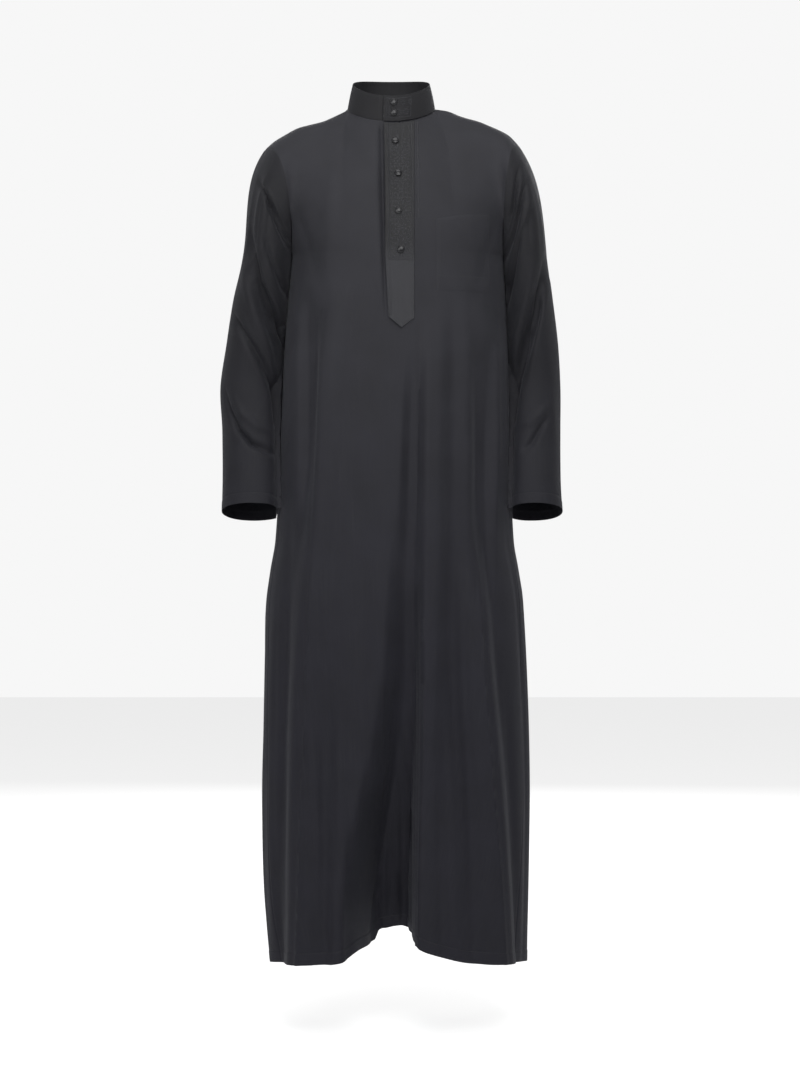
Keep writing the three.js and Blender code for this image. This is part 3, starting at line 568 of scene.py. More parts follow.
BODY_CREASES = creases_on(
    Face.FRONT,
    # chest and belly
    ((-158, -150, 0, 9), (-140, -205, -2.6, 9), (-122, -262, -1.6, 12), (-112, -310, 0, 12)),
    ((168, -170, 0, 9), (156, -225, -2.4, 9), (140, -285, -1.4, 12), (132, -330, 0, 12)),
    ((-88, -70, 0, 16), (-96, -130, 1.8, 18), (-100, -220, 2.0, 20), (-98, -300, 0, 22)),
    ((-60, -250, 0, 10), (-66, -420, -1.6, 12), (-62, -620, -1.8, 13), (-58, -860, 0, 14)),
    ((-30, -380, 0, 9), (-33, -560, 1.5, 11), (-36, -760, 1.7, 12), (-42, -1000, 0, 13)),
    ((96, -300, 0, 12), (92, -420, -1.8, 13), (90, -560, -2.2, 14), (86, -760, 0, 15)),
    ((116, -280, 0, 13), (118, -400, 2.2, 13), (120, -560, 2.4, 13), (116, -720, 0, 14)),
    ((168, -320, 0, 7), (168, -400, 2.6, 7), (169, -520, 2.8, 7), (168, -680, 0, 8)),
    ((-130, -280, 0, 9), (-134, -360, -3.4, 10), (-134, -520, -3.6, 10), (-136, -640, 0, 10)),
    ((36, -370, 0, 14), (40, -470, 2.4, 15), (38, -640, 2.6, 14), (34, -760, 0, 13)),
    # furrow beside the placket's closing edge
    ((-17, -26, 0, 5.6), (-16.6, -44, -6.6, 6), (-15, -130, -8.6, 6), (-13.2, -200, -7.6, 5.6),
     (-11, -300, -3.6, 4.6), (-8.6, -356, 0, 4)),
    # crests and furrows of the skirt
    ((124, -660, 0, 3.2), (137, -755, 2.2, 3.2), (144, -897, 2.6, 3.4), (157, -1058, 2.8, 3.6),
     (171, -1230, 2.6, 3.8), (180, -1375, 2.2, 4)),
    ((108, -720, 0, 9), (112, -900, -3.2, 10), (122, -1100, -3.8, 12), (130, -1375, -3.2, 14)),
    ((84, -800, 0, 8), (88, -1000, 2.2, 9), (96, -1200, 2.6, 11), (98, -1375, 2.4, 12)),
    ((70, -980, 0, 6), (74, -1160, -1.8, 7), (78, -1375, -2.2, 8)),
    ((-182, -720, 0, 8), (-189, -920, 1.6, 9), (-193, -1130, 1.6, 9), (-192, -1375, 1.2, 9)),
    ((-160, -620, 0, 8), (-166, -800, -4.4, 10), (-174, -1040, -6.5, 11), (-178, -1375, -8.0, 12)),
    ((-118, -560, 0, 3.4), (-131, -860, 2.8, 3.8), (-143, -1160, 3.2, 4.2), (-149, -1375, 3, 4.6)),
    ((178, -900, 0, 8), (188, -1060, -4, 9), (197, -1230, -5.5, 10), (203, -1375, -5.5, 10)),
    ((-96, -900, 0, 10), (-104, -1100, -2.6, 12), (-110, -1375, -3.4, 14)),
    ((-76, -860, 0, 9), (-82, -1060, 2.2, 10), (-88, -1375, 2.8, 12)),
    ((-60, -1010, 0, 7), (-63, -1180, -1.6, 8), (-68, -1375, -2.4, 9)),
    ((-10, -1120, 0, 7), (-14, -1240, 3.0, 8), (-10, -1375, 4.0, 8)),
    ((14, -1060, 0, 5), (16, -1200, -2.6, 6), (16, -1375, -3.0, 7)),
) + creases_on(
    Face.BACK,
    ((-60, -60, 0, 14), (-76, -130, -2.4, 15), (-100, -210, -2.6, 16), (-124, -290, 0, 16)),
    ((66, -64, 0, 14), (84, -140, -2.6, 15), (108, -215, -2.4, 16), (132, -300, 0, 16)),
    ((-30, -210, 0, 12), (-34, -360, -2.4, 14), (-30, -560, -2.2, 16), (-26, -760, 0, 18)),
    ((34, -230, 0, 12), (40, -400, 2.4, 14), (46, -600, 2.6, 15), (52, -800, 0, 16)),
    ((132, -300, 0, 10), (140, -420, -4.2, 12), (142, -560, -4.6, 12), (138, -720, 0, 13)),
    ((-128, -290, 0, 10), (-136, -430, -4.0, 12), (-138, -570, -4.2, 12), (-132, -740, 0, 13)),
    ((-72, -420, 0, 9), (-66, -520, -3.0, 10), (-40, -586, -2.2, 11), (-6, -610, 0, 12)),
    ((84, -440, 0, 9), (74, -530, -2.8, 10), (48, -590, -2.0, 11), (18, -612, 0, 12)),
    ((60, -760, 0, 8), (66, -980, -3.2, 10), (74, -1375, -3.6, 12)),
    ((-56, -800, 0, 8), (-60, -1040, 2.8, 10), (-66, -1375, 3.4, 12)),
    ((146, -700, 0, 9), (156, -960, 3.2, 10), (166, -1375, 3.6, 12)),
    ((-140, -740, 0, 9), (-152, -1000, -3.4, 11), (-158, -1375, -3.8, 12)),
    ((-118, -900, 0, 4), (-98, -1100, 1.8, 4), (-94, -1375, 2.0, 4.6)),
    ((102, -860, 0, 4), (108, -1080, 1.8, 4), (112, -1375, 2.0, 4.6)),
) + creases_on(
    Face.LEFT,
    ((-62, -640, 0, 8), (-58, -860, -3.0, 10), (-52, -1120, -3.4, 11), (-50, -1375, -3.0, 12)),
    ((72, -700, 0, 8), (76, -960, -2.8, 10), (80, -1375, -3.2, 12)),
) + creases_on(
    Face.RIGHT,
    ((60, -660, 0, 8), (56, -880, -3.0, 10), (50, -1140, -3.2, 11), (48, -1375, -2.8, 12)),
    ((-76, -720, 0, 8), (-80, -980, -2.6, 10), (-84, -1375, -3.0, 12)),
)
RIGHT_SLEEVE_CREASES = creases_on(
    Face.FRONT,
    ((-218, -112, 0, 4), (-200, -152, -7.5, 4.2), (-180, -198, -8, 4.6), (-160, -240, 0, 5)),
    ((-208, -118, 0, 4), (-190, -158, 2.6, 4.4), (-170, -204, 3.0, 4.6), (-156, -230, 0, 5)),
    ((-199, -140, 0, 3.6), (-184, -176, -6.5, 3.8), (-166, -212, -6.5, 4), (-156, -226, 0, 4)),
    ((-229, -178, 0, 5), (-227, -214, -5, 6), (-214, -286, -11, 7), (-190, -338, -16, 9.5),
     (-168, -372, -15, 11), (-156, -400, -4, 12)),
    ((-206, -204, 0, 4), (-192, -250, -5, 5), (-174, -292, -5, 5.6), (-160, -316, 0, 6)),
    ((-240, -230, 0, 8), (-234, -292, 3.4, 9), (-216, -352, 3.6, 9), (-190, -404, 0, 9)),
    ((-262, -322, 0, 5), (-246, -352, -7, 6), (-212, -404, -10, 8), (-184, -452, -14, 12),
     (-172, -500, -8, 14)),
    ((-271, -446, 0, 4), (-262, -486, -6, 5), (-246, -520, -9, 5.5), (-224, -542, -9.5, 6),
     (-196, -554, -5, 7), (-178, -558, 0, 8)),
    ((-262, -452, 0, 6), (-242, -492, 3.4, 8), (-214, -516, 3.6, 9), (-192, -524, 0, 9)),
    ((-172, -400, 0, 16), (-171, -470, -12, 19), (-171, -560, -12, 19), (-174, -620, -9, 17),
     (-178, -651, -6, 15)),
    ((-262, -560, 0, 9), (-262, -600, 1.6, 10), (-262, -640, 0, 12)),
) + creases_on(
    Face.BACK,
    ((-246, -230, 0, 7), (-232, -300, -4.6, 8), (-214, -380, -4.2, 9), (-200, -440, 0, 11)),
    ((-196, -430, 0, 7), (-214, -462, -5.2, 7), (-240, -474, -4.4, 8), (-262, -470, 0, 9)),
    ((-194, -500, 0, 7), (-216, -524, -4.8, 7), (-244, -530, -4.0, 8), (-264, -522, 0, 9)),
    ((-214, -150, 0, 6), (-200, -196, -4.0, 6), (-182, -240, -3.6, 7), (-170, -270, 0, 8)),
    ((-236, -540, 0, 8), (-230, -590, 2.2, 9), (-232, -640, 0, 10)),
)
LEFT_SLEEVE_CREASES = creases_on(
    Face.FRONT,
    ((206, -84, 0, 4), (200, -118, -5.5, 4.2), (192, -172, -7, 4.6), (182, -214, 0, 5)),
    ((218, -110, 0, 4), (208, -150, -6.5, 4.4), (190, -214, -8, 5), (178, -256, 0, 6)),
    ((226, -128, 0, 6), (214, -176, 3.0, 6.5), (198, -232, 3.2, 7), (186, -276, 0, 7)),
    ((212, -190, 0, 4), (200, -226, -7, 5), (186, -292, -9, 6), (178, -340, 0, 7)),
    ((248, -228, 0, 5), (241, -280, -6, 6.5), (231, -332, -11, 7.5), (214, -384, -16, 9.5),
     (198, -436, -15, 11), (186, -500, -6, 12)),
    ((228, -240, 0, 7), (218, -300, 3.2, 8), (204, -350, 3.4, 8), (192, -392, 0, 8)),
    ((252, -496, 0, 5), (240, -514, -5, 5.6), (222, -542, -5.6, 6.4), (206, -556, 0, 7)),
    ((258, -470, 0, 6), (240, -492, 2.8, 8), (218, -510, 2.8, 9), (204, -516, 0, 9)),
    ((178, -370, 0, 14), (178, -450, -12, 18), (179, -560, -11, 18), (183, -651, -6, 14)),
    ((256, -400, 0, 9), (258, -470, 2.0, 10), (262, -560, 1.8, 11), (262, -640, 0, 12)),
) + creases_on(
    Face.BACK,
    ((250, -240, 0, 7), (238, -310, -4.4, 8), (222, -390, -4.0, 9), (208, -450, 0, 11)),
    ((204, -440, 0, 7), (222, -468, -5.0, 7), (246, -476, -4.2, 8), (262, -470, 0, 9)),
    ((206, -512, 0, 7), (226, -532, -4.6, 7), (250, -536, -3.8, 8), (264, -528, 0, 9)),
    ((216, -156, 0, 6), (202, -204, -4.0, 6), (186, -246, -3.6, 7), (176, -276, 0, 8)),
    ((240, -550, 0, 8), (234, -596, 2.2, 9), (236, -642, 0, 10)),
)


@dataclass(frozen=True)
class Ripple:
    """Small unevenness of hanging cloth: a few long waves added together, each with its own heading."""

    size: float = 0.55
    lengths: tuple[float, ...] = (61.0, 97.0, 43.0, 150.0)
    slants: tuple[float, ...] = (0.11, -0.07, 0.16, -0.19)

    def depth(self, points: Array) -> Array:
        """Depth at points: sines of x and y, slanted by z, the longer waves the deeper."""
        x, y, z = points[..., 0], points[..., 1], points[..., 2]
        total = np.zeros(x.shape)
        for k, (length, slant) in enumerate(zip(self.lengths, self.slants)):
            phase = 2.4 * k + 1.3 * np.sin(z / 230 + k)
            total += length / 80 * np.sin(2 * np.pi * (x + 0.8 * y + slant * z) / length + phase)
        return self.size * total / len(self.lengths)


@dataclass(frozen=True)
class Streaks:
    """Fine upright flutes of the hanging cloth, which grow towards the hem."""

    size: float = 1.1
    top_z: float = -640.0
    full_z: float = -1250.0
    lengths: tuple[float, ...] = (17.0, 23.0, 29.0, 38.0)

    def depth(self, points: Array) -> Array:
        """Depth at points: short waves round the body, uneven in strength from place to place."""
        x, y, z = points[..., 0], points[..., 1], points[..., 2]
        run = x - y * np.sign(x) * 0.9 + 0.02 * z
        total = np.zeros(x.shape)
        for k, length in enumerate(self.lengths):
            strength = 0.5 + 0.5 * np.sin(run / (31 + 9 * k) + 1.7 * k + z / 400)
            total += strength * np.sin(2 * np.pi * run / length + 1.1 * k + 0.6 * np.sin(z / 170 + k))
        return self.size * ease((self.top_z - z) / (self.top_z - self.full_z)) * total / 2


@dataclass(frozen=True)
class Relief:
    """Everything that is pressed into the plain form of one part of the robe."""

    creases: tuple[Crease, ...]
    waves: tuple[Ripple | Streaks, ...] = (Ripple(),)
    spread: float = 0.35

    def depth(self, points: Array, normals: Array) -> Array:
        """Depth at points: creases weighted by how squarely the cloth faces their side, plus the waves."""
        x, y, z = points[..., 0], points[..., 1], points[..., 2]
        towards = {
            Face.FRONT: -normals[..., 1], Face.BACK: normals[..., 1],
            Face.LEFT: normals[..., 0], Face.RIGHT: -normals[..., 0],
        }
        weight = {face: ease(share / self.spread) for face, share in towards.items()}
        total = sum(wave.depth(points) for wave in self.waves)
        for crease in self.creases:
            across = x if crease.face in (Face.FRONT, Face.BACK) else y
            total = total + crease.depth(across, z, weight[crease.face])
        return total


def grid_normals(points: Array, closed: bool = False) -> Array:
    """Normals of a grid: the cross product of its two runs of differences.

    Args:
        points: grid of points, with the across direction first.
        closed: the across direction comes back to its start.

    Returns:
        Unit normals of the same shape.
    """
    if closed:
        padded = np.concatenate([points[-1:], points, points[:1]])
        across = np.gradient(padded, axis=0)[1:-1]
    else:
        across = np.gradient(points, axis=0)
    return unit(np.cross(across, np.gradient(points, axis=1)))


def run_length(points: Array, axis: int) -> Array:
    """Length along a grid's rows or columns, from 0 at the start."""
    steps = np.linalg.norm(np.diff(points, axis=axis), axis=-1)
    start = np.zeros(steps.shape[:axis] + (1,) + steps.shape[axis + 1:])
    return np.concatenate([start, np.cumsum(steps, axis=axis)], axis=axis)


def rounded(distance: Array, radius: float) -> Array:
    """Drop of a rounded edge: a quarter circle over its radius."""
    inside = np.clip(1 - distance / radius, 0, 1)
    return radius * (1 - np.sqrt(np.maximum(1 - inside**2, 0)))


def groove(distance: Array, place: float, depth: float, width: float) -> Array:
    """Soft groove, as deep as `depth` where a distance has a given value."""
    return -depth * np.exp(-(((distance - place) / width) ** 2))


def fine_ends(low: float, high: float, count: int, near: float) -> Array:
    """Even places from low to high, with three more close to each end.

    Args:
        low, high: the ends.
        count: number of even places.
        near: width of the close rows, in the same units.

    Returns:
        Places in rising order.
    """
    extra = np.array([0.18, 0.4, 0.75]) * near
    places = np.linspace(low + near, high - near, count)
    return np.concatenate([[low], low + extra, places, high - extra[::-1], [high]])


@dataclass
class Sheet:
    """Grid of cloth: its points, the way its normals turn, and whether it closes on itself."""

    points: Array
    turn: float = 1.0
    closed: bool = False

    def normals(self) -> Array:
        """Outward normals of the grid."""
        return grid_normals(self.points, self.closed) * self.turn

    def moved(self, out: Array | float) -> Sheet:
        """Copy of the sheet, moved out along its normals."""
        depth = np.broadcast_to(np.asarray(out, float), self.points.shape[:2])
        return Sheet(self.points + self.normals() * depth[..., None], self.turn, self.closed)

    def distances(self) -> tuple[Array, Array, Array, Array]:
        """Distance of every point from the first and last column and the first and last row."""
        across, along = run_length(self.points, 0), run_length(self.points, 1)
        return across, across[-1:] - across, along, along[:, -1:] - along

    def nearest_edge(self, *edges: int) -> Array:
        """Distance of every point from the nearest of some edges, numbered in the order of `distances`."""
        every = self.distances()
        return np.minimum.reduce([every[edge] for edge in edges])

    def place(self, across: Array, along: Array, lift: Array) -> Array:
        """Points at places of the sheet, between its grid points.

        Args:
            across, along: places as parts of the grid's columns and rows.
            lift: height over the sheet.

        Returns:
            Points, blended from the four grid points round each place and moved out along the normal.
        """
        n, m = self.points.shape[:2]
        i = np.clip(across.astype(int), 0, n - 2)
        j = np.clip(along.astype(int), 0, m - 2)
        s, t = (across - i)[..., None], (along - j)[..., None]

        def blend(grid: Array) -> Array:
            """Grid values at the places."""
            near = grid[i, j] * (1 - s) + grid[i + 1, j] * s
            far = grid[i, j + 1] * (1 - s) + grid[i + 1, j + 1] * s
            return near * (1 - t) + far * t
        return blend(self.points) + unit(blend(self.normals())) * np.asarray(lift)[..., None]

    def spots(self, across: Array, down: Array, origin: int) -> tuple[Array, Array]:
        """Places that lie some millimetres from a column and below the last row.

        Args:
            across: distance from the origin column, along the row.
            down: distance below the last row, along the origin column.
            origin: number of the origin column.

        Returns:
            Places as parts of the grid's columns and rows, for `place`.
        """
        wide, long = run_length(self.points, 0), run_length(self.points, 1)[origin]
        along = np.interp(long[-1] - down, long, np.arange(len(long)))
        rows = wide[:, np.rint(along).astype(int)]
        target = rows[origin] + across
        i = np.clip((rows <= target).sum(axis=0) - 1, 0, len(wide) - 2)
        low = np.take_along_axis(rows, i[None], 0)[0]
        high = np.take_along_axis(rows, i[None] + 1, 0)[0]
        return i + (target - low) / (high - low), along


@dataclass
class Build:
    """Vertices in millimetres, faces and map places of a mesh in the making."""

    vertices: Array
    faces: list[Array]
    uv: Array

    @staticmethod
    def shell(sheet: Sheet, thickness: float, keep: Array | None = None) -> Build:
        """Closed thin wall: the sheet's skin, the same skin moved in, and rims round every open edge.

        Args:
            sheet: outer skin.
            thickness: distance to the inner skin.
            keep: mask of the cells that are there; all of them if left out.

        Returns:
            The wall, mapped by its lengths across and along in metres.
        """
        n, m = sheet.points.shape[:2]
        inner = sheet.moved(-thickness).points
        vertices = np.concatenate([sheet.points.reshape(-1, 3), inner.reshape(-1, 3)])
        cells = n if sheet.closed else n - 1
        kept = np.ones((cells, m - 1), bool) if keep is None else keep
        i, j = np.meshgrid(np.arange(cells), np.arange(m - 1), indexing="ij")
        following = (i + 1) % n
        corners = np.stack([i * m + j, following * m + j, following * m + j + 1, i * m + j + 1], axis=-1)
        if sheet.turn < 0:
            corners = corners[..., ::-1]
        framed = np.zeros((cells + 2, m + 1), bool)
        framed[1:-1, 1:-1] = kept
        if sheet.closed:
            framed[0, 1:-1], framed[-1, 1:-1] = kept[-1], kept[0]
        joined = [framed[1:-1, :-2], framed[2:, 1:-1], framed[1:-1, 2:], framed[:-2, 1:-1]]
        if sheet.turn < 0:
            joined = [joined[2], joined[1], joined[0], joined[3]]
        faces = [corners[kept], corners[kept][:, ::-1] + n * m]
        for edge, neighbour in enumerate(joined):
            rim = corners[kept & ~neighbour]
            a, b = rim[:, edge], rim[:, (edge + 1) % 4]
            faces.append(np.stack([a, a + n * m, b + n * m, b], axis=-1))
        across = run_length(sheet.points, 0)
        uv = np.stack([across - across[n // 2], run_length(sheet.points, 1)], axis=-1).reshape(-1, 2)
        return Build(vertices, [np.concatenate(faces)], np.concatenate([uv, uv]) * MM)

    @staticmethod
    def patches(grids: Array) -> Build:
        """Many small open grids at once, each a cap that sits on the cloth.

        Args:
            grids: array of (count, columns, rows, 3) points.

        Returns:
            All grids as one mesh, each mapped from 0 to 1.
        """
        count, n, m = grids.shape[:3]
        i, j = np.meshgrid(np.arange(n - 1), np.arange(m - 1), indexing="ij")
        one = np.stack([i * m + j, (i + 1) * m + j, (i + 1) * m + j + 1, i * m + j + 1], axis=-1).reshape(-1, 4)
        faces = (np.arange(count) * n * m)[:, None, None] + one
        u, v = np.meshgrid(np.linspace(0, 1, n), np.linspace(0, 1, m), indexing="ij")
        uv = np.broadcast_to(np.stack([u, v], axis=-1), (count, n, m, 2))
        return Build(grids.reshape(-1, 3), [faces.reshape(-1, 4)], uv.reshape(-1, 2))

    def object(self, name: str, material: bpy.types.Material, weld: bool = False) -> bpy.types.Object:
        """Blender object of the mesh, in metres, smooth but for sharp edges.

        Args:
            name: name of mesh and object.
            material: its only material.
            weld: merge the vertices that lie in one place.

        Returns:
            The object, linked to the scene.
        """
        mesh = bpy.data.meshes.new(name)
        faces = np.concatenate(self.faces)
        mesh.from_pydata((self.vertices * MM).tolist(), [], faces.tolist())
        layer = mesh.uv_layers.new(name="cloth")
        layer.data.foreach_set("uv", self.uv[faces.reshape(-1)].astype(np.float32).reshape(-1))
        if weld:
            merged = bmesh.new()
            merged.from_mesh(mesh)
            bmesh.ops.remove_doubles(merged, verts=merged.verts, dist=SAME_PLACE)
            merged.to_mesh(mesh)
            merged.free()
        mesh.polygons.foreach_set("use_smooth", np.ones(len(mesh.polygons), bool))
        mesh.set_sharp_from_angle(angle=math.radians(SHARP_ANGLE))
        mesh.materials.append(material)
        mesh.update()
        made = bpy.data.objects.new(name, mesh)
        bpy.context.scene.collection.objects.link(made)
        return made


def placed(slot: Slot, *pieces: bpy.types.Object, node: str = "") -> None:
    """Lets pieces ride on the body, the first of them in the place of a node."""
    if node:
        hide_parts(node)
    for piece in pieces:
        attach(piece, BODY)


class Shader:
    """Adds and joins the nodes of one node tree."""

    def __init__(self, tree: bpy.types.NodeTree) -> None:
        """Takes an empty node tree."""
        self.tree = tree

    def add(self, kind: str, inputs: dict | None = None, **settings: object) -> bpy.types.Node:
        """Adds a node.

        Args:
            kind: node type.
            inputs: socket names or numbers, each with a value or the socket that feeds it.
            settings: properties of the node itself.

        Returns:
            The new node.
        """
        node = self.tree.nodes.new(kind)
        for key, value in settings.items():
            setattr(node, key, value)
        for key, value in (inputs or {}).items():
            if isinstance(value, bpy.types.NodeSocket):
                self.tree.links.new(value, node.inputs[key])
            else:
                node.inputs[key].default_value = value
        return node

    def math(self, operation: str, *values: object) -> bpy.types.NodeSocket:
        """Result of a Math node."""
        return self.add("ShaderNodeMath", dict(enumerate(values)), operation=operation).outputs[0]

    def blend(self, share: object, a: object, b: object) -> bpy.types.NodeSocket:
        """Colour blended from a to b."""
        return self.add("ShaderNodeMix", {0: share, 6: a, 7: b}, data_type="RGBA").outputs[2]

    def scaled(self, colour: object, share: object) -> bpy.types.NodeSocket:
        """Colour times a value."""
        return self.add("ShaderNodeVectorMath", {0: colour, 1: share}, operation="MULTIPLY").outputs[0]

    def principled(self, inputs: dict) -> None:
        """Adds a principled surface and makes it what the material shows."""
        surface = self.add("ShaderNodeBsdfPrincipled", inputs)
        self.add("ShaderNodeOutputMaterial", {"Surface": surface.outputs[0]})

    def spread(self, value: object, low: float, high: float, start: float, end: float) -> bpy.types.NodeSocket:
        """Value mapped from low and high to start and end."""
        return self.add("ShaderNodeMapRange", {0: value, 1: low, 2: high, 3: start, 4: end}).outputs[0]


def blank_material(name: str) -> tuple[bpy.types.Material, Shader]:
    """New material with an empty node tree, and the shader that fills it."""
    made = bpy.data.materials.new(name)
    made.use_nodes = True
    made.node_tree.nodes.clear()
    return made, Shader(made.node_tree)


class Effect:
    """Shader effect that several materials share, kept as a node group."""

    name = "effect"
    takes: tuple[tuple[str, str], ...] = ()
    gives: tuple[tuple[str, str], ...] = ()

    @classmethod
    def group(cls) -> bpy.types.NodeTree:
        """The effect's node group, made at its first use."""
        if cls.name in bpy.data.node_groups:
            return bpy.data.node_groups[cls.name]
        tree = bpy.data.node_groups.new(cls.name, "ShaderNodeTree")
        for label, kind in cls.takes:
            tree.interface.new_socket(label, in_out="INPUT", socket_type=kind)
        for label, kind in cls.gives:
            tree.interface.new_socket(label, in_out="OUTPUT", socket_type=kind)
        shader = Shader(tree)
        source = shader.add("NodeGroupInput")
        outputs = cls.fill(shader, source)
        target = shader.add("NodeGroupOutput")
        for label, socket in outputs.items():
            tree.links.new(socket, target.inputs[label])
        return tree

    @classmethod
    def fill(cls, shader: Shader, source: bpy.types.Node) -> dict[str, bpy.types.NodeSocket]:
        """Makes the group's nodes.

        Args:
            shader: the group's tree.
            source: its input node.

        Returns:
            The socket that feeds each output.
        """
        raise NotImplementedError

    @classmethod
    def use(cls, shader: Shader, **inputs: object) -> bpy.types.Node:
        """Places the effect in a material, with its own values."""
        return shader.add("ShaderNodeGroup", inputs, node_tree=cls.group())


class Weave(Effect):
    """Woven threads: each step across and along is one thread, and one in `Float` steps lies on top."""

    name = "weave"
    takes = (("Map", "NodeSocketVector"), ("Thread", "NodeSocketFloat"), ("Float", "NodeSocketFloat"))
    gives = (("Height", "NodeSocketFloat"), ("Gap", "NodeSocketFloat"))

    @classmethod
    def fill(cls, shader: Shader, source: bpy.types.Node) -> dict[str, bpy.types.NodeSocket]:
        """Height is the sine of the thread on top; the step of the diagonal says which one that is."""
        parts = shader.add("ShaderNodeSeparateXYZ", {0: source.outputs["Map"]})
        across = shader.math("DIVIDE", parts.outputs[0], source.outputs["Thread"])
        along = shader.math("DIVIDE", parts.outputs[1], source.outputs["Thread"])
        steps = shader.math("ADD", shader.math("FLOOR", across), shader.math("FLOOR", along))
        phase = shader.math("FRACT", shader.math("DIVIDE", steps, source.outputs["Float"]))
        over = shader.math("GREATER_THAN", phase, shader.math("DIVIDE", 0.5, source.outputs["Float"]))
        warp = shader.math("ABSOLUTE", shader.math("SINE", shader.math("MULTIPLY", across, math.pi)))
        weft = shader.math("ABSOLUTE", shader.math("SINE", shader.math("MULTIPLY", along, math.pi)))
        top = shader.add("ShaderNodeMix", {0: over, 2: weft, 3: warp}, data_type="FLOAT").outputs[0]
        under = shader.math("MULTIPLY", shader.math("MULTIPLY", warp, weft), 0.5)
        height = shader.math("ADD", shader.math("MULTIPLY", top, 0.5), under)
        return {"Height": height, "Gap": shader.math("SUBTRACT", 1.0, height)}


class Tone(Effect):
    """Unevenness of dyed cloth: soft clouds, upright slubs and fine flecks."""

    name = "tone"
    takes = (("Place", "NodeSocketVector"), ("Map", "NodeSocketVector"))
    gives = (("Cloud", "NodeSocketFloat"), ("Slub", "NodeSocketFloat"), ("Fleck", "NodeSocketFloat"))

    @classmethod
    def fill(cls, shader: Shader, source: bpy.types.Node) -> dict[str, bpy.types.NodeSocket]:
        """Three noises: 60 mm clouds in space, slubs 60 times longer than wide on the map, and 1 mm flecks."""
        cloud = shader.add("ShaderNodeTexNoise", {"Vector": source.outputs["Place"], "Scale": 16.0, "Detail": 3.0})
        stretch = shader.add("ShaderNodeMapping", {"Vector": source.outputs["Map"], "Scale": (620.0, 11.0, 1.0)})
        slub = shader.add("ShaderNodeTexNoise", {"Vector": stretch.outputs[0], "Scale": 1.0, "Detail": 2.0})
        fleck = shader.add("ShaderNodeTexNoise", {"Vector": source.outputs["Map"], "Scale": 900.0, "Detail": 2.0})
        return {"Cloud": cloud.outputs[0], "Slub": slub.outputs[0], "Fleck": fleck.outputs[0]}


Colour = tuple[float, float, float, float]
NOISE_RANGE = (0.3, 0.7)


@dataclass(frozen=True)
class ClothFinish:
    """Dyed cloth: its colour above and a lower colour below, blended by height, gloss, sheen and weave. On the
    robe's cloth the lower colour is painted shade, darker and bluer towards the hem.
    """

    name: str
    upper: Colour = (0.0400, 0.0400, 0.0475, 1.0)
    # painted shade: on the robe's cloth, a darker and bluer copy of the upper colour that stands in for less light
    # falling low down
    lower_tone_and_shade: Colour = (0.0215, 0.0212, 0.0300, 1.0)
    slub: Colour = (0.050, 0.050, 0.055, 1.0)
    slub_share: float = 0.16
    fade: tuple[float, float] = (-0.08, -1.04)
    roughness: float = 0.62
    specular: float = 0.28
    sheen: float = 0.16
    sheen_tint: Colour = (0.55, 0.56, 0.62, 1.0)
    thread: float = 0.00042
    floats: float = 3.0
    relief: float = 0.00010

    def material(self) -> bpy.types.Material:
        """Builds the material."""
        made, shader = blank_material(self.name)
        place = shader.add("ShaderNodeTexCoord").outputs["Object"]
        cloth_map = shader.add("ShaderNodeUVMap", uv_map="cloth").outputs[0]
        tone = Tone.use(shader, Place=place, Map=cloth_map)
        weave = Weave.use(shader, Map=cloth_map, Thread=self.thread, Float=self.floats)
        # painted shade: the colour blends from the upper one to the lower one between the two heights of fade, so
        # the robe's cloth darkens downwards
        height = shader.add("ShaderNodeSeparateXYZ", {0: place}).outputs[2]
        low = shader.add(
            "ShaderNodeMapRange", {0: height, 1: self.fade[0], 2: self.fade[1]}, interpolation_type="SMOOTHSTEP",
        )
        base = shader.blend(low.outputs[0], self.upper, self.lower_tone_and_shade)
        streak = shader.spread(tone.outputs["Slub"], 0.52, 0.72, 0.0, 1.0)
        base = shader.blend(shader.math("MULTIPLY", streak, self.slub_share), base, self.slub)
        cloud = shader.spread(tone.outputs["Cloud"], *NOISE_RANGE, 0.86, 1.1)
        fleck = shader.spread(tone.outputs["Fleck"], *NOISE_RANGE, 0.9, 1.12)
        # painted shade: the colour is darker in the gaps between threads and a little lighter on their tops
        gap = shader.spread(weave.outputs["Gap"], 0.0, 1.0, 1.12, 0.72)
        shade = shader.math("MULTIPLY", shader.math("MULTIPLY", cloud, fleck), gap)
        colour = shader.scaled(base, shade)
        rough = shader.spread(tone.outputs["Cloud"], *NOISE_RANGE, self.roughness - 0.05, self.roughness + 0.05)
        slubs = shader.add("ShaderNodeBump", {
            "Height": tone.outputs["Slub"], "Strength": 0.5, "Distance": self.relief * 1.5,
        })
        woven = shader.add("ShaderNodeBump", {
            "Height": weave.outputs["Height"], "Strength": 0.8, "Distance": self.relief, "Normal": slubs.outputs[0],
        })
        shader.principled({
            "Base Color": colour, "Roughness": rough, "Normal": woven.outputs[0],
            "Specular IOR Level": self.specular, "Sheen Weight": self.sheen, "Sheen Roughness": 0.45,
            "Sheen Tint": self.sheen_tint,
        })
        return made


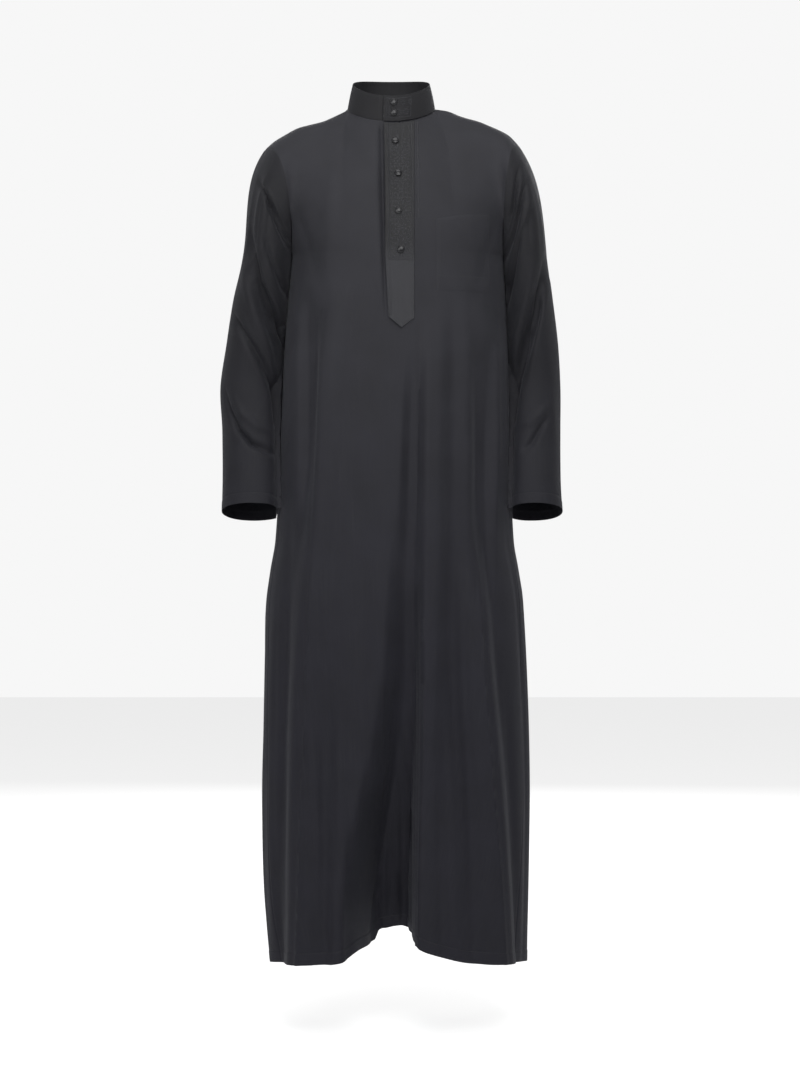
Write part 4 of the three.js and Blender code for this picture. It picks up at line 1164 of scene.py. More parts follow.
@dataclass(frozen=True)
class ThreadFinish:
    """Twisted silky thread of the embroidery and the seams."""

    name: str
    colour: Colour = (0.047, 0.048, 0.056, 1.0)
    shadow: Colour = (0.0165, 0.0165, 0.020, 1.0)
    twist: float = 9.0
    roughness: float = 0.42
    specular: float = 0.5
    sheen: float = 0.25

    def material(self) -> bpy.types.Material:
        """Builds the material: slanted plies of thread on the piece's own map."""
        made, shader = blank_material(self.name)
        place = shader.add("ShaderNodeTexCoord").outputs["Object"]
        cloth_map = shader.add("ShaderNodeUVMap", uv_map="cloth").outputs[0]
        parts = shader.add("ShaderNodeSeparateXYZ", {0: cloth_map})
        slant = shader.math("MULTIPLY_ADD", parts.outputs[0], 0.35, parts.outputs[1])
        ply = shader.math("ABSOLUTE", shader.math("SINE", shader.math("MULTIPLY", slant, self.twist * math.pi)))
        tone = Tone.use(shader, Place=place, Map=place)
        cloud = shader.spread(tone.outputs["Fleck"], *NOISE_RANGE, 0.85, 1.15)
        base = shader.blend(ply, self.shadow, self.colour)
        colour = shader.scaled(base, cloud)
        bump = shader.add("ShaderNodeBump", {"Height": ply, "Strength": 0.6, "Distance": 0.00012})
        rough = shader.spread(ply, 0.0, 1.0, self.roughness + 0.15, self.roughness)
        shader.principled({
            "Base Color": colour, "Roughness": rough, "Normal": bump.outputs[0],
            "Specular IOR Level": self.specular, "Sheen Weight": self.sheen, "Sheen Roughness": 0.35,
        })
        return made


@dataclass(frozen=True)
class ButtonFinish:
    """Glossy moulded resin, faintly clouded."""

    name: str
    colour: Colour = (0.009, 0.009, 0.011, 1.0)
    cloud: Colour = (0.020, 0.020, 0.024, 1.0)
    roughness: float = 0.2
    coat: float = 0.1

    def material(self) -> bpy.types.Material:
        """Builds the material."""
        made, shader = blank_material(self.name)
        place = shader.add("ShaderNodeTexCoord").outputs["Object"]
        swirl = shader.add("ShaderNodeTexNoise", {
            "Vector": place, "Scale": 420.0, "Detail": 4.0, "Distortion": 1.2,
        }).outputs[0]
        colour = shader.blend(swirl, self.colour, self.cloud)
        rough = shader.spread(swirl, *NOISE_RANGE, self.roughness, self.roughness + 0.1)
        bump = shader.add("ShaderNodeBump", {"Height": swirl, "Strength": 0.1, "Distance": 0.00005})
        shader.principled({
            "Base Color": colour, "Roughness": rough, "Normal": bump.outputs[0],
            "Coat Weight": self.coat, "Coat Roughness": 0.08, "Specular IOR Level": 0.4,
        })
        return made


@dataclass
class Finishes:
    """Materials of the robe, one for each kind of surface."""

    cloth: bpy.types.Material
    sleeve: bpy.types.Material
    collar: bpy.types.Material
    placket: bpy.types.Material
    embroidery: bpy.types.Material
    seam_thread: bpy.types.Material
    button: bpy.types.Material

    @staticmethod
    def make() -> Finishes:
        """Builds every material once."""
        # the satin is darker over its embroidered upper part and lighter in its plain point below
        satin = ClothFinish(
            "placket_satin", upper=(0.0145, 0.0148, 0.017, 1), lower_tone_and_shade=(0.0385, 0.039, 0.046, 1),
            fade=(-0.215, -0.265), slub=(0.080, 0.080, 0.086, 1), roughness=0.46, specular=0.45, sheen=0.2,
            floats=5.0, thread=0.00032,
        )
        return Finishes(
            cloth=ClothFinish("charcoal_twill").material(),
            # painted shade: the sleeves take a darker copy of the robe's cloth
            sleeve=ClothFinish("sleeve_twill_painted_shade", upper=(0.0240, 0.0240, 0.0282, 1)).material(),
            collar=ClothFinish("collar_twill", upper=(0.0265, 0.0262, 0.0290, 1)).material(),
            placket=satin.material(),
            embroidery=ThreadFinish("embroidery_thread").material(),
            seam_thread=ThreadFinish("seam_thread", colour=(0.042, 0.042, 0.046, 1), twist=3.0).material(),
            button=ButtonFinish("button_resin").material(),
        )


@dataclass(frozen=True)
class Stitch:
    """Run of machine stitches: each a short raised bead of thread."""

    length: float = 2.3
    pitch: float = 3.2
    width: float = 0.6
    height: float = 0.26

    def along(self, sheet: Sheet, across: Array, down: Array) -> Array:
        """Stitches along a path on a sheet.

        Args:
            sheet: what is sewn.
            across, down: the path, as parts of the grid's columns and rows.

        Returns:
            Grids for `Build.patches`: half tubes that end in round tips, evenly spaced along the path.
        """
        path = sheet.place(across, down, np.zeros(across.shape))
        up = sheet.place(across, down, np.ones(across.shape)) - path
        run = np.concatenate([[0.0], np.cumsum(np.linalg.norm(np.diff(path, axis=0), axis=-1))])
        middles = np.arange(self.pitch / 2, run[-1], self.pitch)
        a = np.linspace(-1, 1, 5)
        at = middles[:, None] + a * self.length / 2
        line = np.stack([np.interp(at, run, path[:, k]) for k in range(3)], axis=-1)
        normal = unit(np.stack([np.interp(middles, run, up[:, k]) for k in range(3)], axis=-1))
        side = unit(np.cross(normal, line[:, -1] - line[:, 0]))
        turn = np.linspace(np.pi, 0, 5)
        bead = np.sqrt(np.maximum(1 - 0.98 * a**4, 0))[None, :, None, None]
        spread = side[:, None, None] * np.cos(turn)[:, None] * self.width / 2
        rise = normal[:, None, None] * np.sin(turn)[:, None] * self.height
        return line[:, :, None] + (spread + rise) * bead


@dataclass
class Ornament:
    """Embroidered leaves, petals and knots, gathered as rows of numbers and laid on a sheet at once."""

    rows: list[Array] = field(default_factory=list)

    def add(self, across: Array, down: Array, turn: Array, length: Array, width: Array, height: Array) -> None:
        """Adds satin-stitched leaves.

        Args:
            across, down: middles, in millimetres on the sheet.
            turn: heading in degrees; 0 points across and 90 points down.
            length, width, height: sizes of each leaf.
        """
        values = [np.asarray(v, float).reshape(-1) for v in (across, down, turn, length, width, height)]
        self.rows.append(np.stack(np.broadcast_arrays(*values), axis=-1))

    def rope(self, across: float, start: float, end: float, pitch: float = 1.9, slant: float = 55.0) -> None:
        """Upright border of slanted stitches."""
        down = np.arange(start, end, pitch)
        self.add(np.full(down.shape, across), down, slant, 2.9, 1.15, 0.5)

    def bar(self, down: float, start: float, end: float, pitch: float = 1.9, slant: float = 35.0) -> None:
        """Level border of slanted stitches."""
        across = np.arange(start, end, pitch)
        self.add(across, np.full(across.shape, down), slant, 2.9, 1.15, 0.5)

    def rosette(self, across: float, down: float, petals: int, radius: float, size: float) -> None:
        """Ring of petals that point away from its middle."""
        turn = np.arange(petals) * 360.0 / petals + 360.0 / petals / 2
        away = np.radians(turn)
        self.add(across + radius * np.cos(away), down + radius * np.sin(away), turn, size, size * 0.52, 0.62)

    def spray(self, across: float, down: float, heading: float, leaves: int, reach: float) -> None:
        """Curved stem with leaves on both of its sides, that grow smaller towards its tip."""
        k = np.arange(leaves)
        bend = np.radians(heading + 14.0 * k)
        x = across + np.cumsum(np.cos(bend)) * reach / leaves
        y = down + np.cumsum(np.sin(bend)) * reach / leaves
        size = 4.0 - 0.45 * k
        for side in (-1.0, 1.0):
            angle = np.degrees(bend) + side * 48
            self.add(x + np.cos(np.radians(angle)) * 1.8, y + np.sin(np.radians(angle)) * 1.8,
                     angle, size, size * 0.42, 0.5)
        self.add(x, y, np.degrees(bend), reach / leaves + 0.6, 0.8, 0.36)

    def knots(self, across: Array, down: Array, size: float) -> None:
        """Small round knots."""
        self.add(across, down, 0.0, size, size, 0.5)

    def ground(self, across: Array, down: Array, seed: int, jitter: float, size: float) -> None:
        """Knots on a grid, each moved a little at random."""
        across, down = np.meshgrid(across, down, indexing="ij")
        moved = np.random.default_rng(seed).uniform(-jitter, jitter, (2, across.size))
        self.knots(across.reshape(-1) + moved[0], down.reshape(-1) + moved[1], size)

    def on(self, sheet: Sheet, origin: int) -> Array:
        """Lays everything on a sheet.

        Each leaf is a grid of two shares: its width follows the root of one less the square of the share along,
        fuller towards its foot, and it is domed across and along.

        Args:
            sheet: what is embroidered.
            origin: column that `across` is measured from.

        Returns:
            Grids for `Build.patches`, all facing outwards.
        """
        data = np.concatenate(self.rows)[:, :, None, None]
        a = np.linspace(-1, 1, 5)[None, :, None]
        b = np.linspace(-1, 1, 4)[None, None, :]
        half = data[:, 4] / 2 * np.sqrt(np.maximum(1.0001 - a * a, 0)) * (1 - 0.3 * a)
        away, turn = data[:, 3] / 2 * a, np.radians(data[:, 2])
        across = data[:, 0] + away * np.cos(turn) - b * half * np.sin(turn)
        down = data[:, 1] + away * np.sin(turn) + b * half * np.cos(turn)
        lift = data[:, 5] * np.sqrt(np.maximum(1 - b * b, 0)) * np.sqrt(np.maximum(1.02 - a**4, 0)) + 0 * away
        shape = across.shape
        i, j = sheet.spots(across.reshape(-1), down.reshape(-1), origin)
        grids = sheet.place(i, j, lift.reshape(-1)).reshape(*shape, 3)
        return grids[:, ::-1]


SEAM_SHARE = 0.016
CLOSE_COLUMNS = ((-0.152, -0.102, 14), (0.086, 0.152, 24))


def snapped(places: Array, *marks: float) -> Array:
    """Moves the nearest place onto each mark, so that a line of the grid runs through it."""
    for mark in marks:
        places[np.argmin(np.abs(places - mark))] = mark
    return places


def column_places(form: RobeForm) -> Array:
    """Columns of the front: even ones, closer ones at the sharp fold and the placket, and the slit edges."""
    slit = form.edge * form.placket.slit_half / form.placket.neck_half
    even = fine_ends(-1.0, 1.0, 128, SEAM_SHARE)
    even = even[np.abs(even) > 2 * slit]
    close = []
    for low, high, count in CLOSE_COLUMNS:
        even = even[(even < low) | (even > high)]
        close.append(np.linspace(low + 0.002, high - 0.002, count))
    return snapped(np.sort(np.concatenate([even, [-slit, slit], *close])), -form.neck_edge, form.neck_edge)


def row_places(lower: int, upper: int) -> Array:
    """Rows of a body panel from hem to top edge, closer at the hem, along its stitching and at the top."""
    hem = np.array([0, 0.0003, 0.0007, 0.0013, 0.003, 0.008, 0.0135, 0.0145, 0.0155, 0.0165, 0.0176, 0.019])
    top = np.array([1.988, 1.992, 1.996, 1.998, 2.0])
    return np.concatenate([hem, np.linspace(0.023, 1, lower), np.linspace(1, 1.984, upper)[1:], top])


@dataclass(frozen=True)
class Edges:
    """Depths of seams, free edges and stitched-up hems."""

    seam_dip: float = 0.6
    seam_width: float = 2.4
    free_radius: float = 0.45
    hem_width: float = 19.0
    hem_rise: float = 0.5
    hem_press: tuple[float, float] = (0.5, 1.2)

    def seam(self, distance: Array) -> Array:
        """Dip beside a seam, from its full depth to 0 over its width."""
        return -self.seam_dip * (1 - ease(distance / self.seam_width))

    def hem(self, distance: Array) -> Array:
        """Turned-up hem: rounded at the edge, a little thicker, and pulled in along its stitches."""
        fold = self.hem_rise * (1 - ease((distance - self.hem_width + 2) / 2.5))
        return fold + groove(distance, self.hem_width, *self.hem_press) - rounded(distance, self.free_radius)

    def bound(self, skin: Sheet) -> Sheet:
        """Copy of a panel's skin with seams on three sides and a hem at its first row."""
        return skin.moved(self.seam(skin.nearest_edge(0, 1, 3)) + self.hem(skin.distances()[2]))

    def hem_stitches(self, skin: Sheet, across: Array, at_end: bool) -> Array:
        """Stitches along a hem.

        Args:
            skin: what is sewn.
            across: the columns that the path runs through.
            at_end: the hem is at the last row, not at the first.

        Returns:
            Grids for `Build.patches`.
        """
        long = run_length(skin.points, 1)
        goals = long[:, -1] - self.hem_width if at_end else np.full(len(long), self.hem_width)
        level = np.array([np.interp(goal, row, np.arange(len(row))) for goal, row in zip(goals, long)])
        return Stitch().along(skin, across, np.interp(across, np.arange(len(level)), level))


@dataclass
class Panels:
    """Front, back and side gores."""

    form: RobeForm
    finishes: Finishes
    thickness: float = 0.9
    edges: Edges = field(default_factory=Edges)
    relief: Relief = field(default_factory=lambda: Relief(BODY_CREASES, (Ripple(), Streaks())))
    rests: str = "collar"
    side_fade: float = 0.07
    fade_from: float = 0.97
    fade_over: float = 0.1
    top_fade: float = 0.06
    allowance: float = 3.0
    allowance_drop: float = 1.1
    front_flat: tuple[float, float] = (0.62, 1.45)
    front_area: float = 0.70
    back_flat: tuple[float, float] = (0.62, 1.47)
    back_area: float = 0.61
    gore_flat: tuple[float, float] = (0.24, 1.15)
    gore_area: float = 0.125

    def skin(self, surface: Surface, us: Array, vs: Array) -> Sheet:
        """Outer skin of a body panel, with its creases pressed in.

        Args:
            surface: plain form of the panel.
            us, vs: columns and rows.

        Returns:
            The skin; creases fade out towards armhole, shoulder seam and neckline.
        """
        u, v = np.meshgrid(us, vs, indexing="ij")
        plain = Sheet(surface(u, v))
        edge = np.where(v > 1, ease((1 - np.abs(u)) / self.side_fade), 1.0)
        edge = mix(1.0, edge, ease((v - self.fade_from) / self.fade_over))
        fade = edge * ease((2 - v) / self.top_fade)
        return plain.moved(self.relief.depth(plain.points, plain.normals()) * fade)

    def gore_skin(self, side: float) -> Sheet:
        """Outer skin of a side gore, carried a little way under its neighbours as a seam allowance."""
        us = fine_ends(0.0, 1.0, 36, 0.03)
        vs = row_places(178, 3)
        vs = vs[vs <= 1]
        u, v = np.meshgrid(us, vs, indexing="ij")
        plain = Sheet(self.form.gore(side)(u, v))
        skin = plain.moved(self.relief.depth(plain.points, plain.normals()))
        start, end, hem, top = skin.distances()
        skin = skin.moved(self.edges.seam(np.minimum(start, end)) + self.edges.hem(hem) + self.edges.seam(top))
        first, last = skin.points[:1], skin.points[-1:]
        normals = skin.normals()
        under = first - unit(skin.points[1:2] - first) * self.allowance - normals[:1] * self.allowance_drop
        over = last - unit(skin.points[-2:-1] - last) * self.allowance - normals[-1:] * self.allowance_drop
        return Sheet(np.concatenate([under, skin.points, over]))

    def front(self) -> bpy.types.Object:
        """Front panel with the neck slit left open."""
        corner = self.form.row(self.form.placket.corner_z)
        us, vs = column_places(self.form), snapped(row_places(180, 78), corner)
        skin = self.skin(self.form.front, us, vs)
        skin = self.edges.bound(skin)
        gap = int(np.argmin(np.abs(us - us[us < 0].max())))
        keep = np.ones((len(us) - 1, len(vs) - 1), bool)
        keep[gap, vs[:-1] >= corner] = False
        made = Build.shell(skin, self.thickness, keep).object("front_panel", self.finishes.cloth)
        return self.dress(made, skin, "front", self.front_flat, self.front_area)

    def back(self) -> bpy.types.Object:
        """Back panel."""
        us = snapped(fine_ends(-1.0, 1.0, 106, SEAM_SHARE), -self.form.neck_edge, self.form.neck_edge)
        skin = self.skin(self.form.back, us, row_places(156, 66))
        skin = self.edges.bound(skin)
        made = Build.shell(skin, self.thickness).object("back_panel", self.finishes.cloth)
        return self.dress(made, skin, "back", self.back_flat, self.back_area)

    def gore(self, side: float) -> bpy.types.Object:
        """Side gore: 1 on the wearer's left, -1 on the right."""
        end = "left" if side > 0 else "right"
        skin = self.gore_skin(side)
        made = Build.shell(skin, self.thickness).object(f"gore_{end}_panel", self.finishes.cloth)
        return self.dress(made, skin, f"gore_{end}", self.gore_flat, self.gore_area)

    def dress(
        self, made: bpy.types.Object, skin: Sheet, node: str, flat: tuple[float, float], area: float
    ) -> bpy.types.Object:
        """Puts a panel in its node's place and sews its hem."""
        across = np.linspace(0.5, len(skin.points) - 1.5, 4 * len(skin.points))
        beads = self.edges.hem_stitches(skin, across, False)
        hem = Build.patches(beads).object(f"{node}_hem_stitches", self.finishes.seam_thread)
        placed(Slot.CLOTH, made, hem, node=node)
        return made

    def build(self) -> list[bpy.types.Object]:
        """Builds all four panels."""
        return [self.front(), self.back(), self.gore(1.0), self.gore(-1.0)]


@dataclass
class Sleeves:
    """Set-in sleeves with turned cuffs."""

    form: RobeForm
    finishes: Finishes
    thickness: float = 0.9
    columns: int = 168
    cap_fade: float = 0.14
    edges: Edges = field(default_factory=lambda: Edges(hem_width=17.0))
    flat: tuple[float, float] = (0.48, 0.62)
    area: float = 0.198

    def skin(self, side: float) -> Sheet:
        """Outer skin of a sleeve with its creases."""
        angles = np.linspace(0, 2 * np.pi, self.columns, endpoint=False)
        cap = np.concatenate([[0, 0.006, 0.014, 0.026], np.linspace(0.045, 1, 58)])
        hem = [0.95, 0.954, 0.958, 0.962, 0.967, 0.98, 0.994, 0.997, 0.9985, 0.9994, 1]
        tube = 1 + np.concatenate([np.linspace(0, 0.945, 140)[1:], hem])
        angle, t = np.meshgrid(angles, np.concatenate([cap, tube]), indexing="ij")
        creases = RIGHT_SLEEVE_CREASES if side < 0 else LEFT_SLEEVE_CREASES
        relief = Relief(creases, (Ripple(size=0.7),), spread=0.2)
        plain = Sheet(self.form.sleeve(side)(angle, t), turn=side, closed=True)
        skin = plain.moved(relief.depth(plain.points, plain.normals()) * ease(t / self.cap_fade))
        along = run_length(skin.points, 1)
        return skin.moved(self.edges.seam(along) + self.edges.hem(along[:, -1:] - along))

    def sleeve(self, side: float) -> bpy.types.Object:
        """One sleeve: 1 on the wearer's left, -1 on the right."""
        end = "left" if side > 0 else "right"
        skin = self.skin(side)
        made = Build.shell(skin, self.thickness).object(f"sleeve_{end}_cloth", self.finishes.sleeve)
        across = np.linspace(0, len(skin.points) - 1.01, 4 * len(skin.points))
        beads = self.edges.hem_stitches(skin, across, True)
        sewn = Build.patches(beads).object(f"cuff_{end}_stitches", self.finishes.seam_thread)
        placed(Slot.CLOTH, made, sewn, node=f"sleeve_{end}")
        return made

    def build(self) -> list[bpy.types.Object]:
        """Builds both sleeves."""
        return [self.sleeve(1.0), self.sleeve(-1.0)]


@dataclass
class Collar:
    """Stand collar whose end laps over at the front."""

    form: RobeForm
    finishes: Finishes
    height: float = 40.0
    lean: float = 0.88
    lean_back: float = 0.95
    gap: float = 0.5
    lap: float = 2.6
    lap_from: float = 0.3
    lap_over: float = 0.55
    under_end: float = 22.0
    over_end: float = -11.0
    thickness: float = 1.7
    radius: float = 0.8
    tuck: float = 2.6
    tucked: tuple[float, float] = (1.7, 2.4)
    bow: float = 0.5
    wave: float = 0.25
    stitch_line: float = 4.0
    press: tuple[float, float] = (0.22, 1.0)
    ornament_length: float = 46.0
    button_across: float = 5.6
    flat: tuple[float, float] = (0.44, 0.042)

    def plain(self, angle: Array, h: Array) -> Array:
        """Plain form: the neck seam raised and leaned in, moved out as it winds towards its lapping end."""
        base = self.form.neck_base(np.radians(angle))
        turned = (self.under_end - angle) / (self.under_end - self.over_end + 360)
        lap = self.lap * ease((turned - self.lap_from) / self.lap_over)
        outward = np.stack([np.sin(np.radians(angle)), -np.cos(np.radians(angle)), 0 * angle], axis=-1)
        x = base[..., 0] * mix(1, self.lean, h)
        y = base[..., 1] * mix(1, self.lean_back, h)
        z = base[..., 2] + self.gap + self.height * h
        return np.stack([x, y, z], axis=-1) + outward * lap[..., None]

    def skin(self) -> Sheet:
        """Outer skin: slightly bowed, with rounded top edge and ends and a pressed line along its stitches."""
        angles = fine_ends(self.over_end - 360, self.under_end, 300, 2.0)
        low, high = [-0.02, 0.004, 0.02], [0.97, 0.982, 0.991, 0.997, 1]
        heights = np.concatenate([low, np.linspace(0.05, 0.95, 18), high])
        angle, h = np.meshgrid(angles, heights, indexing="ij")
        bow = self.bow * np.sin(np.pi * np.clip(h, 0, 1)) + self.wave * np.sin(np.radians(angle) * 5 + 2 * h)
        skin = Sheet(self.plain(angle, h)).moved(bow + groove(angle, self.over_end - self.tuck, *self.tucked))
        free = skin.nearest_edge(0, 1, 3)
        return skin.moved(groove(free, self.stitch_line, *self.press) - rounded(free, self.radius))

    def ornament(self, skin: Sheet) -> bpy.types.Object:
        """Embroidery on the lapping end: two rope borders, a row of rosettes, and knots between them."""
        drawn = Ornament()
        start, end, low = 4.5, self.ornament_length, self.height - 4.5
        drawn.bar(4.8, start, end, slant=35)
        drawn.bar(low, start, end, slant=-35)
        drawn.rope(start + 1.5, 7, low - 2, slant=60)
        drawn.rope(end, 5, low + 1, slant=-60)
        for k in range(3):
            across = start + 8.5 + 12.4 * k
            drawn.rosette(across, low - 8.2, 8, 4.3, 3.6)
            drawn.rosette(across + 6.2, 12.5, 6, 3.2, 3.2)
        for down in (12.0, 27.5):
            drawn.rosette(self.button_across, down, 10, 7.6, 3.0)
        drawn.ground(np.arange(start + 4, end - 2, 2.7), np.arange(8, low - 2, 2.9), 11, 0.6, 1.15)
        made = Build.patches(drawn.on(skin, 0)).object("collar_embroidery", self.finishes.embroidery)
        placed(Slot.COLLAR, made)
        return made

    def stitches(self, skin: Sheet) -> bpy.types.Object:
        """Stitches round the collar's top edge and down its lapping end."""
        columns, rows = skin.points.shape[:2]
        across = np.concatenate([np.full(40, 5.2), np.linspace(5.2, columns - 5.0, 900)])
        level = rows - 6.4
        down = np.concatenate([np.linspace(2.0, level, 40), np.full(900, level)])
        beads = Stitch().along(skin, across, down)
        made = Build.patches(beads).object("collar_stitches", self.finishes.seam_thread)
        placed(Slot.COLLAR, made)
        return made

    def build(self) -> tuple[bpy.types.Object, Sheet]:
        """Builds collar, embroidery and stitches, and gives the collar's skin to its buttons."""
        skin = self.skin()
        made = Build.shell(skin, self.thickness).object("collar_band", self.finishes.collar)
        placed(Slot.COLLAR, made, node="collar")
        parts = [self.ornament(skin), self.stitches(skin)]
        return made, skin


@dataclass
class Placket:
    """Satin placket with its pointed end, and the underlap behind the slit."""

    form: RobeForm
    finishes: Finishes
    panels: Panels
    clearance: float = 0.4
    thickness: float = 1.4
    lift: float = 2.4
    lift_width: float = 7.0
    radius: float = 0.8
    stitch_line: float = 2.6
    press: tuple[float, float] = (0.3, 0.8)
    tip_half: float = 1.2
    top: float = 1.97
    ornament_end: float = 236.0
    ornament_half: float = 19.6
    repeat: float = 29.5
    first_button: float = 37.0
    border_end: float = 176.0
    flat: tuple[float, float] = (0.048, 0.345)
    under_flat: tuple[float, float] = (0.048, 0.33)
    under_drop: float = 1.6
    under_thickness: float = 1.2
    point_share: float = 0.94

    def ends(self) -> tuple[float, float]:
        """Rows of the front at the strip's lower corners and at its tip."""
        return self.form.row(self.form.placket.corner_z), self.form.row(self.form.placket.tip_z)

    def surface(self, u: Array, v: Array) -> Array:
        """Strip of the front, narrowed to a point below its corners."""
        corner, tip = self.ends()
        share = np.clip((v - tip) / (corner - tip), 0, 1)
        narrow = mix(self.tip_half / self.form.placket.end_half, 1, share)
        return self.form.front(u * narrow, v)

    def rows(self, top: float) -> Array:
        """Rows from the tip to the top, closer along the point."""
        corner, tip = self.ends()
        point = np.linspace(tip, corner, 12)
        return np.concatenate([point, np.linspace(corner, 1, 44)[1:], np.linspace(1, top, 110)[1:]])

    def skin(self) -> Sheet:
        """Outer skin: rounded edges, the closure edge lifted a little off the front, faint pressed lines."""
        us = fine_ends(-self.form.edge, self.form.edge, 34, 0.008)
        laid = self.panels.skin(self.surface, us, self.rows(self.top))
        free = laid.nearest_edge(0, 1, 2)
        lift = self.lift * (1 - ease(laid.distances()[0] / self.lift_width))
        press = groove(free, self.stitch_line, *self.press)
        return laid.moved(self.clearance + self.thickness + lift + press - rounded(free, self.radius))

    def underlap(self) -> bpy.types.Object:
        """Underlap behind the slit."""
        us = fine_ends(-self.form.edge, self.form.edge, 18, 0.008)
        laid = self.panels.skin(self.surface, us, self.rows(self.top)[6:])
        shell = Build.shell(laid.moved(-self.under_drop), self.under_thickness)
        made = shell.object("placket_underlap", self.finishes.placket)
        placed(Slot.PLACKET, made, node="placket_under")
        return made

    def ornament(self) -> Ornament:
        """Traditional leaf and rosette repeat of the upper placket, between two rope borders.

        Rosettes open round the buttons and halfway between them, sprays of leaves fill the corners, and knots
        on a jittered grid fill the ground.
        """
        drawn = Ornament()
        for side in (-1.0, 1.0):
            drawn.rope(side * self.ornament_half, 5, self.ornament_end, slant=90 - side * 35)
            drawn.rope(side * (self.ornament_half - 2.9), 5, self.ornament_end, pitch=2.5, slant=90 + side * 30)
        drawn.bar(self.ornament_end, -self.ornament_half, self.ornament_half)
        drawn.bar(self.ornament_end - 3, -self.ornament_half + 2, self.ornament_half - 2, pitch=2.4, slant=-35)
        count = int(self.ornament_end / self.repeat) + 1
        for k in range(count):
            down = self.first_button - self.repeat + k * self.repeat
            if not 8 < down < self.ornament_end - 6:
                continue
            drawn.rosette(0, down, 8, 9.0, 5.0)
            drawn.rosette(0, down, 8, 13.6, 3.4)
            if k % 2 == 0:
                drawn.rosette(0, down, 5, 3.6, 5.0)
            half = down + self.repeat / 2
            if half < self.ornament_end - 5:
                for side in (-1.0, 1.0):
                    drawn.spray(side * 4.5, half, 90 - side * 62, 2, 8)
                    drawn.spray(side * 4.5, half, -90 + side * 48, 2, 8)
                drawn.rosette(0, half, 4, 2.6, 4.0)
        drawn.ground([-14.6, -4.8, 4.8, 14.6], np.arange(8, self.ornament_end - 6, 5.9), 7, 1.1, 2.4)
        return drawn

    def border(self) -> bpy.types.Object:
        """Slim embroidered border on the front, just beside the placket."""
        us = np.linspace(self.form.edge * 0.9, self.form.edge * 2.4, 40)
        sheet = self.panels.skin(self.form.front, us, np.linspace(0.98, 1.98, 120))
        drawn = Ornament()
        down = np.arange(8.0, self.border_end, 6.4)
        drawn.rope(2.6, 5, self.border_end, pitch=2.2, slant=35)
        drawn.add(np.full(down.shape, 6.6), down, 28, 4.2, 1.9, 0.5)
        drawn.add(np.full(down.shape, 6.6), down + 3.2, -28, 4.2, 1.9, 0.5)
        drawn.knots(np.full(down.shape, 10.2), down + 1.6, 1.5)
        made = Build.patches(drawn.on(sheet, 3)).object("placket_border", self.finishes.embroidery)
        placed(Slot.PLACKET, made)
        return made

    def stitches(self, skin: Sheet) -> bpy.types.Object:
        """Stitches that hold both edges and the point of the strip."""
        columns, rows = skin.points.shape[:2]
        down = np.linspace(3.2, rows - 2.0, 400)
        beads = [Stitch().along(skin, np.full(down.shape, at), down) for at in (4.0, columns - 5.0)]
        made = Build.patches(np.concatenate(beads)).object("placket_stitches", self.finishes.seam_thread)
        placed(Slot.PLACKET, made)
        return made

    def build(self) -> tuple[bpy.types.Object, Sheet]:
        """Builds strip, embroidery, stitches and underlap, and gives the strip's skin to the buttons."""
        skin = self.skin()
        made = Build.shell(skin, self.thickness).object("placket_strip", self.finishes.placket)
        drawn = self.ornament().on(skin, len(skin.points) // 2)
        sewn = Build.patches(drawn).object("placket_embroidery", self.finishes.embroidery)
        placed(Slot.PLACKET, made, sewn, node="placket")
        parts = [sewn, self.border(), self.stitches(skin)]
        self.underlap()
        return made, skin


@dataclass
class Pocket:
    """Patch pocket on the wearer's left of the chest, in the robe's own cloth."""

    form: RobeForm
    finishes: Finishes
    panels: Panels
    inner: float = 0.25
    outer: float = 0.7
    bottom_z: float = -305.0
    top_turn: float = 16.0
    clearance: float = 0.2
    thickness: float = 0.7
    stitch_line: float = 2.2
    press: tuple[float, float] = (0.1, 0.8)
    soft_edge: float = 5.0
    soft_drop: float = 0.45
    radius: float = 0.4
    flat: tuple[float, float] = (0.105, 0.117)

    def build(self) -> bpy.types.Object:
        """Builds the pocket and its stitches."""
        us = fine_ends(self.inner, self.outer, 40, 0.02)
        vs = fine_ends(self.form.row(self.bottom_z), 1 + self.top_turn / 90, 44, 0.02)
        laid = self.panels.skin(self.form.front, us, vs)
        free = laid.nearest_edge(0, 1, 2, 3)
        press = groove(free, self.stitch_line, *self.press)
        soft = self.soft_drop * (1 - ease(free / self.soft_edge))
        skin = laid.moved(self.clearance + self.thickness + press - soft - rounded(free, self.radius))
        made = Build.shell(skin, self.thickness).object("chest_pocket", self.finishes.cloth)
        columns, rows = skin.points.shape[:2]
        left, right, low, high = 4.2, columns - 5.2, 4.2, rows - 1.5
        across = np.concatenate([np.full(120, left), np.linspace(left, right, 120), np.full(120, right)])
        down = np.concatenate([np.linspace(high, low, 120), np.full(120, low), np.linspace(low, high, 120)])
        beads = Stitch(height=0.12, width=0.5).along(skin, across, down)
        sewn = Build.patches(beads).object("pocket_stitches", self.finishes.seam_thread)
        placed(Slot.CLOTH, made, sewn, node="pocket")
        return made


